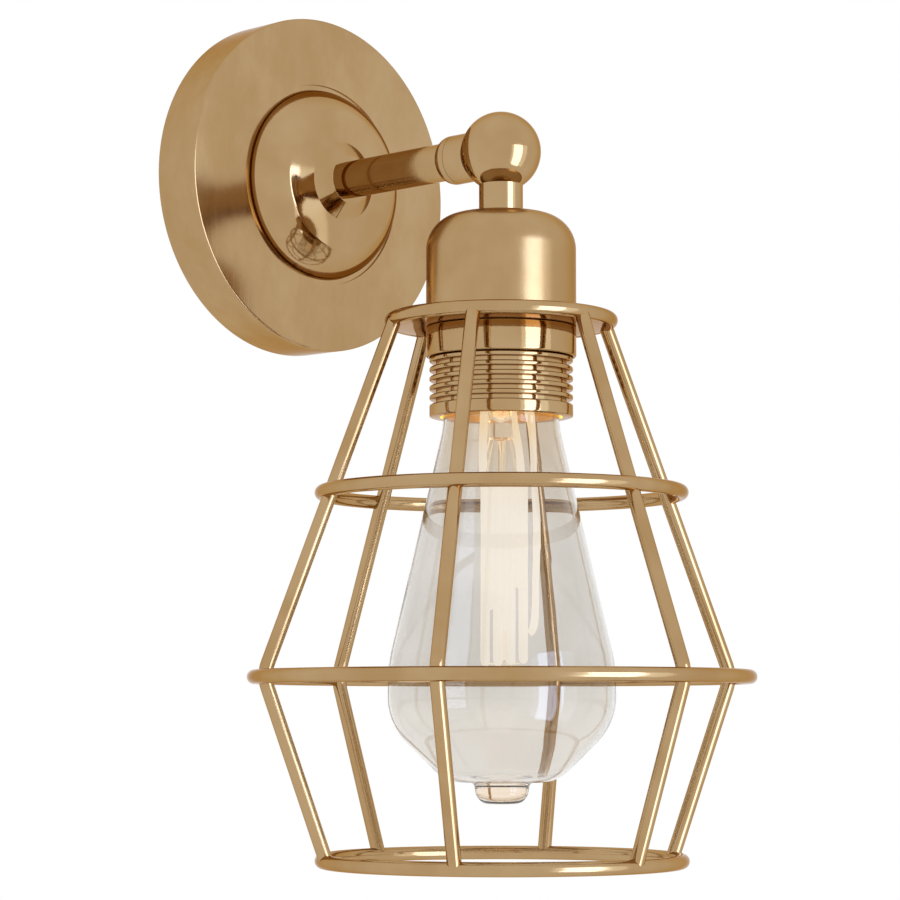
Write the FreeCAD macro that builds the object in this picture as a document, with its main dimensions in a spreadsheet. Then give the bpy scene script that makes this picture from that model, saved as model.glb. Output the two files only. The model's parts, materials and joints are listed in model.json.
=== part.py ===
"""Cage wall light: round wall plate, stepped boss, short arm, ball knuckle, wire cage and pear lamp.

Millimetres. The origin is the middle of the face that lies on the wall. The room side is -Y,
+Z is up. The lamp hangs under the ball knuckle, so the lamp axis is the vertical line through
the ball centre. Turned parts of the lamp are drawn as (radius, height from the ball centre) and
turned parts of the arm as (radius, distance from the ball centre towards the wall).
"""
import math
import os
import re

import FreeCAD
import Part
import Sketcher

# Driving dimensions in millimetres, counts and degrees. Each one is a cell of the sheet.
SIZES = {
    # wall plate
    "plate_diameter": 101.0,
    "plate_depth": 16.0,
    "plate_wall": 1.5,
    "plate_edge_round": 0.8,
    # stepped boss on the plate
    "boss_foot_radius": 30.5,
    "boss_radius": 28.3,
    "boss_foot_height": 1.0,
    "boss_foot_cove": 2.9,
    "boss_round": 8.2,
    "boss_wall": 1.6,
    "hub_radius": 11.4,
    "hub_front_radius": 7.2,
    "hub_height": 3.4,
    # arm and its thread
    "arm_reach": 75.5,
    "arm_diameter": 11.0,
    "arm_bore_radius": 4.04,
    "stud_radius": 5.0,
    "stud_past_plate": 7.5,
    "plate_nut_flats": 14.0,
    "plate_nut_height": 4.0,
    "washer_height": 1.0,
    "washer_radius": 9.0,
    # wall bracket
    "bracket_width": 26.0,
    "bracket_edge_gap": 2.0,
    "bracket_sheet": 1.5,
    "bracket_ear_depth": 11.0,
    "slot_spacing": 72.0,
    "slot_length": 12.0,
    "slot_width": 5.0,
    "cable_hole_radius": 8.0,
    "plate_screw_radius": 2.0,
    "plate_screw_length": 7.0,
    "plate_screw_back": 7.0,
    "plate_screw_sunk": 0.2,
    "plate_screw_socket": 3.0,
    "peg_past_ear": 2.0,
    "peg_gap": 0.15,
    # fits
    "screw_gap": 0.1,
    "loose_hole_gap": 0.3,
    "thread_root": 0.2,
    "cut_overrun": 1.0,
    # terminal block on the bracket
    "block_width": 24.0,
    "block_depth": 10.0,
    "block_height": 14.0,
    "block_top_drop": 10.5,
    "pole_count": 3,
    "pole_pitch": 7.6,
    "pole_radius": 2.4,
    "pole_bore_radius": 1.5,
    "pole_inset": 1.0,
    "pole_depth_share": 0.45,
    "pole_screw_share": 0.26,
    "pole_screw_tip": 0.6,
    "pole_screw_stand": 1.4,
    "clamp_screw_radius": 1.2,
    "earth_screw_radius": 1.5,
    "earth_screw_rise": 20.0,
    "earth_screw_length": 2.2,
    "earth_washer_radius": 3.1,
    "earth_washer_height": 0.8,
    # screw heads, as shares of the thread's radius
    "pan_head_share": 2.0,
    "pan_head_rise": 1.2,
    "cross_slot_share": 0.6,
    "cross_length_share": 3.0,
    "cross_slot_depth": 0.9,
    # ball knuckle
    "ball_diameter": 22.8,
    "ball_wall": 2.2,
    "seat_gap": 0.25,
    "seam_back": 16.6,
    "seam_gap": 0.12,
    "collar_diameter": 14.2,
    "ferrule_length": 4.4,
    "ferrule_straight": 1.4,
    "ferrule_lip": 0.3,
    "ferrule_shoulder_slack": 0.4,
    "stem_radius": 3.25,
    "stem_rear_radius": 4.0,
    "stem_bore_radius": 2.0,
    "stem_length": 36.0,
    "stem_front": 1.2,
    "clamp_nut_flats": 8.5,
    "clamp_nut_height": 3.0,
    "clamp_nut_front": 1.6,
    "spring_washer_height": 0.8,
    "spring_washer_width": 1.8,
    "spring_washer_split": 0.8,
    "friction_washer_angle": 36.0,
    "slot_clearance": 0.06,
    "tilt_out": 55.0,
    "tilt_back": 5.0,
    "swivel_each_way": 60.0,
    "stop_pin_radius": 1.0,
    "stop_pin_gap": 0.1,
    "stop_pin_root": 0.5,
    "stop_slack_angle": 1.0,
    "stop_screw_radius": 1.5,
    "stop_screw_sunk": 0.4,
    "stop_screw_back": 18.8,
    "stop_groove_depth": 1.1,
    "driver_socket_depth": 1.6,
    # neck
    "neck_radius": 6.25,
    "neck_bore_radius": 3.5,
    "neck_thread_radius": 5.0,
    "ball_floor_drop": 6.6,
    # socket cup and lampholder
    "cup_radius": 21.25,
    "cup_top_drop": 18.0,
    "cup_height": 31.2,
    "cup_round": 10.3,
    "cup_wall": 1.2,
    "holder_radius": 20.0,
    "holder_inner_radius": 17.3,
    "holder_past_cage": 25.4,
    "holder_skirt_gap": 0.1,
    "holder_cap_wall": 1.5,
    "holder_cap_boss": 3.0,
    "holder_cap_thread": 7.8,
    "holder_cap_crown_radius": 14.5,
    "holder_cap_crown_height": 3.6,
    "holder_cap_crown_wall": 1.9,
    "holder_cap_crown_inset": 1.1,
    "holder_cap_slope": 5.4,
    "holder_cap_ledge": 12.3,
    "holder_cap_lip": 1.0,
    "holder_cap_lip_height": 2.5,
    "holder_cap_skirt": 4.5,
    "core_radius": 17.0,
    "core_height": 30.5,
    "core_floor": 9.5,
    "ledge_radius": 15.0,
    "ledge_height": 1.5,
    "rib_radius": 20.3,
    "rib_root_radius": 18.5,
    "rib_pitch": 2.66,
    "rib_gap": 1.25,
    "rib_round": 0.5,
    "rib_gap_count": 8,
    "land_height": 3.5,
    "core_rivet_radius": 1.5,
    "core_rivet_head": 0.5,
    "core_rivet_head_radius": 2.5,
    "middle_contact_radius": 4.0,
    "middle_contact_gap": 0.1,
    "core_terminal_offset": 9.5,
    "core_screw_hole_depth": 5.0,
    "core_plate_width": 6.0,
    "core_plate_length": 7.0,
    "core_plate_sheet": 0.8,
    "core_head_share": 1.9,
    "core_head_height": 1.2,
    "core_head_slot": 0.7,
    "core_head_slot_depth": 0.5,
    # clamp ring and cage
    "clamp_ring_height": 8.5,
    "clamp_ring_gap": 0.05,
    "clamp_ring_round": 0.6,
    "cage_plate_sheet": 1.3,
    "wire_radius": 2.0,
    "wire_count": 6,
    "first_wire_angle": 30.0,
    "wire_end_gap": 0.5,
    "ring_top_radius": 31.0,
    "ring_top_rise": 0.6,
    "ring_upper_below": 48.8,
    "ring_upper_outset": 1.7,
    "ring_wide_radius": 69.3,
    "ring_wide_below": 51.6,
    "ring_bottom_radius": 50.2,
    "ring_bottom_below": 51.0,
    "knee_inset": 1.4,
    "knee_rise": 0.3,
    "knee_bend": 10.0,
    # lamp
    "lamp_radius": 32.0,
    "lamp_neck_radius": 16.4,
    "lamp_neck_flare": 3.9,
    "lamp_neck_length": 5.6,
    "lamp_neck_round": 3.0,
    "lamp_neck_blend": 30.0,
    "lamp_slope_length": 67.3,
    "lamp_wide_blend": 50.0,
    "lamp_side_length": 15.8,
    "lamp_chin_round": 18.0,
    "lamp_base_flat": 7.7,
    "lamp_base_round": 12.0,
    "lamp_glass_wall": 0.9,
    "lamp_rim_in_cap": 3.3,
    "tip_radius": 7.8,
    "tip_end_radius": 7.1,
    "tip_length": 6.0,
    "tip_round": 4.2,
    "tip_root_round": 1.3,
    # lamp cap and its contact
    "lamp_cap_radius": 13.1,
    "lamp_cap_length": 25.3,
    "lamp_cap_sheet": 0.4,
    "lamp_cap_round": 1.5,
    "cap_hole_radius": 8.0,
    "cap_glass_gap": 0.1,
    "lamp_contact_rise": 1.7,
    "lamp_contact_radius": 4.5,
    "lamp_contact_height": 1.1,
    "lamp_contact_lip": 0.4,
    "lamp_contact_flat": 1.0,
    "contact_top_gap": 1.3,
    "contact_pin_radius": 1.5,
    "contact_pin_length": 2.0,
    "contact_slide_gap": 0.05,
    "insulator_depth": 3.0,
    "insulator_lip": 1.0,
    "shell_radius": 13.9,
    "shell_sheet": 0.5,
    "shell_rim": 2.5,
    "shell_length": 19.5,
    # inside the lamp
    "flare_radius": 11.6,
    "flare_wall": 1.0,
    "flare_root_radius": 5.6,
    "flare_rise": 2.8,
    "flare_height": 5.0,
    "pinch_radius": 3.6,
    "pinch_length": 5.0,
    "pinch_below_cap": 12.7,
    "stem_rod_radius": 1.5,
    "stem_button_radius": 2.4,
    "stem_button_height": 1.4,
    "stem_button_taper": 0.3,
    "stem_taper": 0.6,
    "filament_radius": 6.3,
    "filament_below_pinch": 13.0,
    "filament_length": 49.6,
    "filament_wire_radius": 0.5,
    "filament_half_gap": 0.75,
    "filament_loops": 8,
    "filament_first_angle": 22.5,
    "support_wire_radius": 0.25,
    "support_gap": 0.1,
}

# Lengths worked out from the driving dimensions. A formula may use either kind of word. A drop is
# a distance below the ball centre, and a back is one from the ball centre towards the wall.
WORKED_OUT = {
    "lamp_y": "-(plate_depth + arm_reach)",
    "plate_radius": "plate_diameter / 2",
    "plate_inside": "plate_radius - plate_wall",
    "bracket_half_height": "plate_inside - bracket_edge_gap",
    "stud_hole_radius": "stud_radius + thread_root",
    "arm_radius": "arm_diameter / 2",
    "foot_front": "plate_depth + boss_foot_height",
    "boss_front": "foot_front + boss_round",
    "boss_flat": "boss_radius - boss_round",
    "boss_inside": "boss_radius - boss_wall",
    "boss_face_inside": "boss_front - boss_wall",
    "hub_front": "boss_front + hub_height",
    "stud_end": "plate_wall + stud_past_plate - plate_depth",
    "ear_width": "bracket_width / 2",
    "slot_run": "slot_length - slot_width",
    "block_low": "-(block_top_drop + block_height)",
    "block_middle": "-(block_top_drop + block_height / 2)",
    "block_front": "-(bracket_sheet + block_depth)",
    "pole_middle": "-(bracket_sheet + block_depth * pole_depth_share)",
    "ball_radius": "ball_diameter / 2",
    "ball_inside": "ball_radius - ball_wall",
    "ball_floor_radius": "sqrt(ball_inside ^ 2 - ball_floor_drop ^ 2)",
    "neck_flat_drop": "sqrt(ball_radius ^ 2 - neck_radius ^ 2)",
    "collar_radius": "collar_diameter / 2",
    "seat_radius": "ball_radius + seat_gap",
    "press_radius": "ball_inside - seat_gap",
    "press_rim": "press_radius * sin(friction_washer_angle)",
    "press_flat": "clamp_nut_front + clamp_nut_height + spring_washer_height",
    "slot_side": "stem_radius + slot_clearance",
    "slot_reach": "ball_diameter * 0.75",
    "slot_middle": "(tilt_out - tilt_back) / 2",
    "stop_screw_y": "lamp_y + stop_screw_back",
    "groove_floor": "stem_rear_radius - stop_groove_depth",
    "groove_half_width": "stop_pin_radius + stop_pin_gap",
    "stop_pin_angle": "asin(stop_pin_radius / groove_floor) / 1 deg",
    "stop_pin_end": "groove_floor + stop_pin_gap",
    "stop_screw_top": "collar_radius - stop_screw_sunk",
    "cup_inside": "cup_radius - cup_wall",
    "cup_ceiling_drop": "cup_top_drop + cup_wall",
    "cap_boss_radius": "neck_thread_radius + holder_cap_boss",
    "cap_boss_drop": "cup_ceiling_drop + holder_cap_thread",
    "cap_crown_drop": "cup_ceiling_drop + holder_cap_crown_height",
    "cap_corner_drop": "cap_crown_drop + holder_cap_slope",
    "holder_ledge_drop": "cup_ceiling_drop + holder_cap_ledge",
    "cap_skirt_drop": "holder_ledge_drop + holder_cap_skirt",
    "cap_skirt_radius": "holder_radius - holder_skirt_gap",
    "cap_skirt_inside": "cap_skirt_radius - holder_cap_wall",
    "core_bottom_drop": "holder_ledge_drop + core_height",
    "core_floor_drop": "holder_ledge_drop + core_floor",
    "rivet_top_drop": "holder_ledge_drop - core_rivet_head",
    "core_sheet_drop": "holder_ledge_drop - core_plate_sheet",
    "core_head_drop": "core_sheet_drop - core_head_height",
    "core_head_radius": "clamp_screw_radius * core_head_share",
    "cage_top_drop": "cup_top_drop + cup_height",
    "cage_sheet_drop": "cage_top_drop + cage_plate_sheet",
    "holder_bottom_drop": "cage_sheet_drop + holder_past_cage",
    "clamp_ring_drop": "cage_sheet_drop + clamp_ring_height",
    "clamp_ring_bore": "rib_radius + clamp_ring_gap",
    "ring_top_drop": "cage_top_drop - ring_top_rise",
    "ring_upper_drop": "ring_top_drop + ring_upper_below",
    "ring_wide_drop": "ring_upper_drop + ring_wide_below",
    "ring_bottom_drop": "ring_wide_drop + ring_bottom_below",
    "wire_top_drop": "ring_top_drop + wire_end_gap",
    "wire_bottom_drop": "ring_bottom_drop - wire_end_gap",
    "knee_radius": "ring_wide_radius - knee_inset",
    "knee_drop": "ring_wide_drop - knee_rise",
    "leg_lean": "(knee_radius - ring_top_radius) / (knee_drop - wire_top_drop)",
    "leg_at_upper": "ring_top_radius + (ring_upper_drop - wire_top_drop) * leg_lean",
    "ring_upper_radius": "leg_at_upper + ring_upper_outset",
    "contact_top_drop": "core_floor_drop + contact_top_gap",
    "contact_bottom_drop": "contact_top_drop + lamp_contact_height",
    "cap_top_drop": "contact_top_drop + lamp_contact_rise",
    "cap_bottom_drop": "cap_top_drop + lamp_cap_length",
    "cap_inside": "lamp_cap_radius - lamp_cap_sheet",
    "insulator_bottom_drop": "cap_top_drop + insulator_depth",
    "insulator_bore": "contact_pin_radius + contact_slide_gap",
    "shell_inside": "shell_radius - shell_sheet",
    "shell_bottom_drop": "core_floor_drop + shell_length",
    "glass_rim_radius": "cap_inside - cap_glass_gap",
    "glass_rim_drop": "cap_bottom_drop - lamp_rim_in_cap",
    "lamp_neck_top_drop": "cap_bottom_drop + lamp_neck_flare",
    "lamp_neck_drop": "lamp_neck_top_drop + lamp_neck_length",
    "lamp_wide_drop": "lamp_neck_drop + lamp_slope_length",
    "lamp_chin_drop": "lamp_wide_drop + lamp_side_length",
    "lamp_base_radius": "tip_radius + lamp_base_flat",
    "lamp_base_drop": "lamp_chin_drop + lamp_radius - lamp_base_radius",
    "glass_shift": "lamp_glass_wall * tan(45 / 2)",
    "tip_bottom_drop": "lamp_base_drop + tip_length",
    "flare_top_drop": "cap_bottom_drop - flare_rise",
    "flare_root_drop": "flare_top_drop + flare_height",
    "pinch_bottom_drop": "cap_bottom_drop + pinch_below_cap",
    "pinch_top_drop": "pinch_bottom_drop - pinch_length",
    "filament_top_drop": "pinch_bottom_drop + filament_below_pinch",
    "filament_bottom_drop": "filament_top_drop + filament_length",
    "lower_row_drop": "filament_bottom_drop + filament_half_gap",
    "loop_angle": "360 / filament_loops",
    "half_gap_angle": "asin(filament_half_gap / filament_radius) / 1 deg",
}

doc = FreeCAD.newDocument("CageWallLight")
sheet = doc.addObject("Spreadsheet::Sheet", "Sizes")
CELLS = {word: str(number) for word, number in SIZES.items()}
CELLS.update({word: "=" + formula for word, formula in WORKED_OUT.items()})
for row, (alias, content) in enumerate(CELLS.items(), start=1):
    sheet.set("A%d" % row, alias)
    sheet.set("B%d" % row, content)
    sheet.setAlias("B%d" % row, alias)
doc.recompute()

NODES = []


# ---------------------------------------------------------------- helpers
def bound(text):
    """The same formula with every word of the sheet written as a reference to its cell."""
    return re.sub(r"[a-z][a-z_]*", lambda word: cell_or_word(word.group(0)), text)


def cell_or_word(word):
    return "Sizes." + word if word in CELLS else word


def value(text):
    """The number that a formula gives with the sheet as it stands."""
    return float(sheet.evalExpression(bound(text)))


def bind(thing, prop, text):
    thing.setExpression(prop, bound(text))


def node(thing, name):
    """Label a finished piece and put it on the list of nodes."""
    thing.Label = name
    NODES.append(thing)
    return thing


def place(thing, x="0", y="0", z="0"):
    """Bind where a piece stands."""
    for axis, text in zip("xyz", (x, y, z)):
        if text != "0":
            bind(thing, "Placement.Base." + axis, text)


def origin_plane(body, role):
    return next(item for item in body.Origin.OriginFeatures if item.Role == role)


def new_body(name):
    body = doc.addObject("PartDesign::Body", name)
    body.AllowCompound = True
    return body


def new_sketch(body, name, role):
    sketch = body.newObject("Sketcher::SketchObject", name)
    sketch.AttachmentSupport = [(origin_plane(body, role), "")]
    sketch.MapMode = "FlatFace"
    return sketch


def pin_point(sketch, geometry, end, corner):
    """Hold one end of a line or arc at a bound place."""
    for kind, text in zip(("DistanceX", "DistanceY"), corner):
        index = sketch.addConstraint(Sketcher.Constraint(kind, -1, 1, geometry, end, value(text)))
        bind(sketch, "Constraints[%d]" % index, text)


def bind_radius(sketch, geometry, text):
    index = sketch.addConstraint(Sketcher.Constraint("Radius", geometry, value(text)))
    bind(sketch, "Constraints[%d]" % index, text)


def vector(corner):
    return FreeCAD.Vector(value(corner[0]), value(corner[1]), 0)


def arc_between(start, finish, radius, turn):
    """The arc under a half turn from start to finish; turn is 1 counter-clockwise, -1 clockwise."""
    chord = finish - start
    across = FreeCAD.Vector(-chord.y, chord.x, 0) / chord.Length
    rise = math.sqrt(max(radius ** 2 - chord.Length ** 2 / 4, 0))
    centre = (start + finish) / 2 + across * rise * turn
    first, last = (start, finish) if turn > 0 else (finish, start)
    circle = Part.Circle(centre, FreeCAD.Vector(0, 0, 1), radius)
    return Part.ArcOfCircle(circle, heading(first - centre), heading(last - centre))


def heading(arrow):
    return math.atan2(arrow.y, arrow.x)


def outline(body, name, role, steps):
    """Closed outline. A step is (u, v) for a corner, (u, v, radius) for a rounded corner, or
    ("arc", radius, turn) for an arc from the corner before it to the corner after it."""
    sketch = new_sketch(body, name, role)
    draw_path(sketch, steps, True)
    return sketch


def draw_path(sketch, steps, closed):
    corners = [step for step in steps if step[0] != "arc"]
    arcs = {}
    for place_in_list, step in enumerate(steps):
        if step[0] == "arc":
            before = len([item for item in steps[:place_in_list] if item[0] != "arc"]) - 1
            arcs[before] = step
    count = len(corners)
    ends = [tangent_points(corners, index) for index in range(count)]
    pieces = []
    for index in range(count if closed else count - 1):
        following = (index + 1) % count
        start = ends[index][1]
        finish = ends[following][0]
        if index in arcs:
            radius, turn = value(arcs[index][1]), arcs[index][2]
            made = sketch.addGeometry(arc_between(start, finish, radius, turn), False)
            bind_radius(sketch, made, arcs[index][1])
            pieces.append((made, 1, 2) if turn > 0 else (made, 2, 1))
        else:
            made = sketch.addGeometry(Part.LineSegment(start, finish), False)
            pieces.append((made, 1, 2))
    for index in range(count):
        has_before = closed or index > 0
        has_after = closed or index < count - 1
        before = pieces[index - 1] if has_before else None
        after = pieces[index] if has_after else None
        if len(corners[index]) == 3:
            round_corner(sketch, corners[index], ends[index], before, after)
            continue
        if before and after:
            sketch.addConstraint(Sketcher.Constraint("Coincident", before[0], before[2], after[0], after[1]))
        held = after if after else (before[0], before[2])
        pin_point(sketch, held[0], held[1], corners[index])


def tangent_points(corners, index):
    """Where the lines stop on either side of a corner."""
    here = vector(corners[index])
    if len(corners[index]) < 3:
        return here, here
    arrow_in = vector(corners[index - 1]) - here
    arrow_out = vector(corners[(index + 1) % len(corners)]) - here
    half_angle = arrow_in.getAngle(arrow_out) / 2
    back = value(corners[index][2]) / math.tan(half_angle)
    return here + arrow_in.normalize() * back, here + arrow_out.normalize() * back


def round_corner(sketch, corner, ends, before, after):
    start, finish = ends
    chord = finish - start
    to_corner = vector(corner) - start
    turn = 1 if chord.x * to_corner.y - chord.y * to_corner.x < 0 else -1
    made = sketch.addGeometry(arc_between(start, finish, value(corner[2]), turn), False)
    first, last = (1, 2) if turn > 0 else (2, 1)
    sketch.addConstraint(Sketcher.Constraint("Tangent", before[0], before[2], made, first))
    sketch.addConstraint(Sketcher.Constraint("Tangent", after[0], after[1], made, last))
    bind_radius(sketch, made, corner[2])
    point = sketch.addGeometry(Part.Point(vector(corner)), True)
    sketch.addConstraint(Sketcher.Constraint("PointOnObject", point, 1, before[0]))
    sketch.addConstraint(Sketcher.Constraint("PointOnObject", point, 1, after[0]))
    pin_point(sketch, point, 1, corner)


def turned(name, role, steps):
    """A piece turned on the lathe about the sketch's upright axis."""
    body = new_body(name)
    sketch = outline(body, name + "_outline", role, steps)
    turn = body.newObject("PartDesign::Revolution", name + "_turn")
    turn.Profile = sketch
    turn.ReferenceAxis = (sketch, ["V_Axis"])
    turn.Angle = 360
    body.Tip = turn
    return body


def lamp_turned(name, steps):
    """Turned about the lamp axis: steps are (radius, height above the ball centre)."""
    body = turned(name, "XZ_Plane", steps)
    place(body, y="lamp_y")
    return body


def arm_turned(name, steps):
    """Turned about the arm: steps are (radius, distance from the ball centre to the wall side)."""
    body = turned(name, "XY_Plane", steps)
    place(body, y="lamp_y")
    return body


def wall_turned(name, steps):
    """Turned about the arm's line: steps are (radius, distance from the wall, room side minus)."""
    return turned(name, "XY_Plane", steps)


DIRECTIONS = {
    "+Z": FreeCAD.Rotation(),
    "-Z": FreeCAD.Rotation(FreeCAD.Vector(1, 0, 0), 180),
    "+Y": FreeCAD.Rotation(FreeCAD.Vector(1, 0, 0), -90),
    "-Y": FreeCAD.Rotation(FreeCAD.Vector(1, 0, 0), 90),
    "+X": FreeCAD.Rotation(FreeCAD.Vector(0, 1, 0), 90),
}


def rod(name, radius, length, direction, x="0", y="0", z="0"):
    """A round rod from a bound point along one row axis."""
    made = doc.addObject("Part::Cylinder", name)
    bind(made, "Radius", radius)
    bind(made, "Height", length)
    made.Placement = FreeCAD.Placement(FreeCAD.Vector(), DIRECTIONS[direction])
    place(made, x, y, z)
    return made


def block(name, lengths, corner):
    """A box from its lowest corner."""
    made = doc.addObject("Part::Box", name)
    for prop, text in zip(("Length", "Width", "Height"), lengths):
        bind(made, prop, text)
    place(made, *corner)
    return made


def hexagon(name, flats, length, direction, x="0", y="0", z="0"):
    """A hexagonal bar, sized across its flats."""
    made = doc.addObject("Part::Prism", name)
    made.Polygon = 6
    bind(made, "Circumradius", "(%s) / 2 / cos(30)" % flats)
    bind(made, "Height", length)
    made.Placement = FreeCAD.Placement(FreeCAD.Vector(), DIRECTIONS[direction])
    place(made, x, y, z)
    return made


def fuse(name, shapes):
    made = doc.addObject("Part::MultiFuse", name)
    made.Shapes = shapes
    made.Refine = True
    return made


def cut(name, base, tools):
    """Base less every tool."""
    made = doc.addObject("Part::Cut", name)
    made.Base = base
    made.Tool = tools[0] if len(tools) == 1 else fuse(name + "_tools", tools)
    made.Refine = True
    return made


def group(name, shapes):
    """Separate solids that share one node."""
    made = doc.addObject("Part::Compound", name)
    made.Links = shapes
    return made


# ---------------------------------------------------------------- wall side
def make_canopy():
    """The spun wall plate: a shallow cup with its open side on the wall."""
    shell = wall_turned("canopy_shell", [
        ("stud_hole_radius", "-plate_depth"),
        ("plate_radius", "-plate_depth", "plate_edge_round"),
        ("plate_radius", "0"),
        ("plate_inside", "0"),
        ("plate_inside", "plate_wall - plate_depth"),
        ("stud_hole_radius", "plate_wall - plate_depth"),
    ])
    screw_hole = rod("canopy_screw_hole", "plate_screw_radius + screw_gap", "2 * plate_wall", "+Z",
                     y="-plate_screw_back", z="plate_radius - 1.5 * plate_wall")
    return node(cut("canopy_body", shell, [screw_hole]), "canopy")


def slot_tools(side, middle):
    """What cuts an upright slot with round ends through the strap: a box and two rods."""
    through = "3 * bracket_sheet"
    tools = [block("slot_" + side, ["slot_width", through, "slot_run"],
                   ["-slot_width / 2", "-2 * bracket_sheet", middle + " - slot_run / 2"])]
    for end, sign in (("high", " + "), ("low", " - ")):
        tools.append(rod("slot_%s_%s" % (side, end), "slot_width / 2", through, "-Y",
                         y="bracket_sheet", z=middle + sign + "slot_run / 2"))
    return tools


def make_bracket():
    """Pressed strap on the wall with two slots, a cable hole and an ear bent out at each end."""
    through = "3 * bracket_sheet"
    strap = block("strap", ["bracket_width", "bracket_sheet", "2 * bracket_half_height"],
                  ["-bracket_width / 2", "-bracket_sheet", "-bracket_half_height"])
    ears = []
    for side, low in (("top", "bracket_half_height - bracket_sheet"),
                      ("bottom", "-bracket_half_height")):
        ears.append(block("ear_" + side, ["ear_width", "bracket_ear_depth", "bracket_sheet"],
                          ["-ear_width / 2", "-bracket_ear_depth", low]))
    holes = [rod("cable_hole", "cable_hole_radius", through, "-Y", y="bracket_sheet")]
    holes += slot_tools("top", "slot_spacing / 2")
    holes += slot_tools("bottom", "-slot_spacing / 2")
    holes.append(rod("ear_thread", "plate_screw_radius", through, "+Z",
                     y="-plate_screw_back", z="bracket_half_height - 2 * bracket_sheet"))
    holes.append(rod("peg_hole", "plate_screw_radius", through, "+Z",
                     y="-plate_screw_back", z="-bracket_half_height - bracket_sheet"))
    holes.append(rod("earth_hole", "earth_screw_radius", through, "-Y",
                     y="bracket_sheet", z="earth_screw_rise"))
    holes.append(rod("block_hole", "clamp_screw_radius", through, "-Y",
                     x="pole_pitch / 2", y="bracket_sheet", z="block_middle"))
    node(cut("bracket", fuse("bracket_blank", [strap] + ears), holes), "wall_bracket")


def make_plate_screw():
    """Headless screw through the rim into the upper ear, with its driver socket."""
    outer = "plate_radius - plate_screw_sunk"
    shank = rod("screw_shank", "plate_screw_radius", "plate_screw_length", "-Z",
                y="-plate_screw_back", z=outer)
    socket = hexagon("screw_socket", "plate_screw_radius", "plate_screw_socket", "-Z",
                     y="-plate_screw_back", z=outer)
    node(cut("plate_screw_body", shank, [socket]), "plate_screw")


def make_plate_peg(canopy):
    """The peg fixed to the inside of the rim, opposite the screw, that hooks into the lower ear."""
    from_drop = "plate_radius - plate_wall / 2"
    bar = rod("rim_peg", "plate_screw_radius - peg_gap",
              from_drop + " - bracket_half_height + peg_past_ear", "+Z",
              y="-plate_screw_back", z="-(%s)" % from_drop)
    node(cut("rim_peg_body", bar, [canopy]), "plate_peg")


def make_boss():
    """The stepped boss: a hollow domed ring on a coved foot, and the coned hub on top of it."""
    node(wall_turned("boss_body", [
        ("stud_hole_radius", "-boss_front"),
        ("boss_flat", "-boss_front"),
        ("arc", "boss_round", 1),
        ("boss_radius", "-foot_front"),
        ("arc", "boss_foot_cove", -1),
        ("boss_foot_radius", "-plate_depth"),
        ("boss_inside", "-plate_depth"),
        ("boss_inside", "-foot_front"),
        ("arc", "boss_round - boss_wall", -1),
        ("boss_flat", "-boss_face_inside"),
        ("stud_hole_radius", "-boss_face_inside"),
    ]), "boss_dome")
    node(wall_turned("hub_body", [
        ("stud_hole_radius", "-hub_front"),
        ("hub_front_radius", "-hub_front"),
        ("hub_radius", "-boss_front"),
        ("stud_hole_radius", "-boss_front"),
    ]), "boss_hub")


def make_arm():
    """The tube: a wide bore for the swivel stem, and a shouldered thread through hub and plate."""
    front = "lamp_y + seam_back + seam_gap"
    tube = wall_turned("arm_body", [
        ("arm_bore_radius", front),
        ("arm_radius", front),
        ("arm_radius", "-hub_front"),
        ("stud_radius", "-hub_front"),
        ("stud_radius", "stud_end"),
        ("arm_bore_radius", "stud_end"),
    ])
    stop_hole = rod("arm_stop_hole", "stop_screw_radius", "collar_radius", "+Z", y="stop_screw_y")
    node(cut("arm_drilled", tube, [stop_hole]), "arm_tube")


def make_ferrule():
    """The wider end of the arm, with a soft shoulder, where the knuckle turns against it."""
    front = "seam_back + seam_gap"
    back = "seam_back + ferrule_length"
    body = arm_turned("ferrule_body", [
        ("arm_radius", front),
        ("collar_radius", front),
        ("collar_radius", "seam_back + ferrule_straight"),
        ("arc", "ferrule_length - ferrule_straight + ferrule_shoulder_slack", 1),
        ("arm_radius + ferrule_lip", back),
        ("arm_radius", back),
    ])
    stop_hole = rod("ferrule_stop_hole", "stop_screw_radius", "collar_diameter", "+Z", y="stop_screw_y")
    node(cut("ferrule_drilled", body, [stop_hole]), "arm_ferrule")


def make_stop_screw():
    """Grub screw on top of the ferrule whose pin runs in the part-round groove of the stem."""
    thread = rod("stop_thread", "stop_screw_radius", "stop_screw_top - arm_bore_radius", "+Z",
                 y="stop_screw_y", z="arm_bore_radius")
    pin = rod("stop_pin", "stop_pin_radius", "arm_bore_radius + stop_pin_root - stop_pin_end", "+Z",
              y="stop_screw_y", z="stop_pin_end")
    socket = hexagon("stop_socket", "stop_screw_radius", "driver_socket_depth", "-Z",
                     y="stop_screw_y", z="stop_screw_top")
    node(cut("stop_screw_body", fuse("stop_screw_blank", [thread, pin]), [socket]), "swivel_stop_screw")


def make_plate_nut():
    """Washer and nut behind the plate that pull arm, hub and boss together."""
    washer = rod("washer_disc", "washer_radius", "washer_height", "+Y", y="plate_wall - plate_depth")
    hole = rod("washer_hole", "stud_radius", "3 * washer_height", "+Y", y="-plate_depth")
    node(cut("washer_body", washer, [hole]), "stud_washer")
    nut = hexagon("nut_bar", "plate_nut_flats", "plate_nut_height", "+Y",
                  y="plate_wall - plate_depth + washer_height")
    bore = rod("nut_bore", "stud_radius", "3 * plate_nut_height", "+Y", y="-plate_depth")
    node(cut("nut_body", nut, [bore]), "stud_nut")


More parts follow.
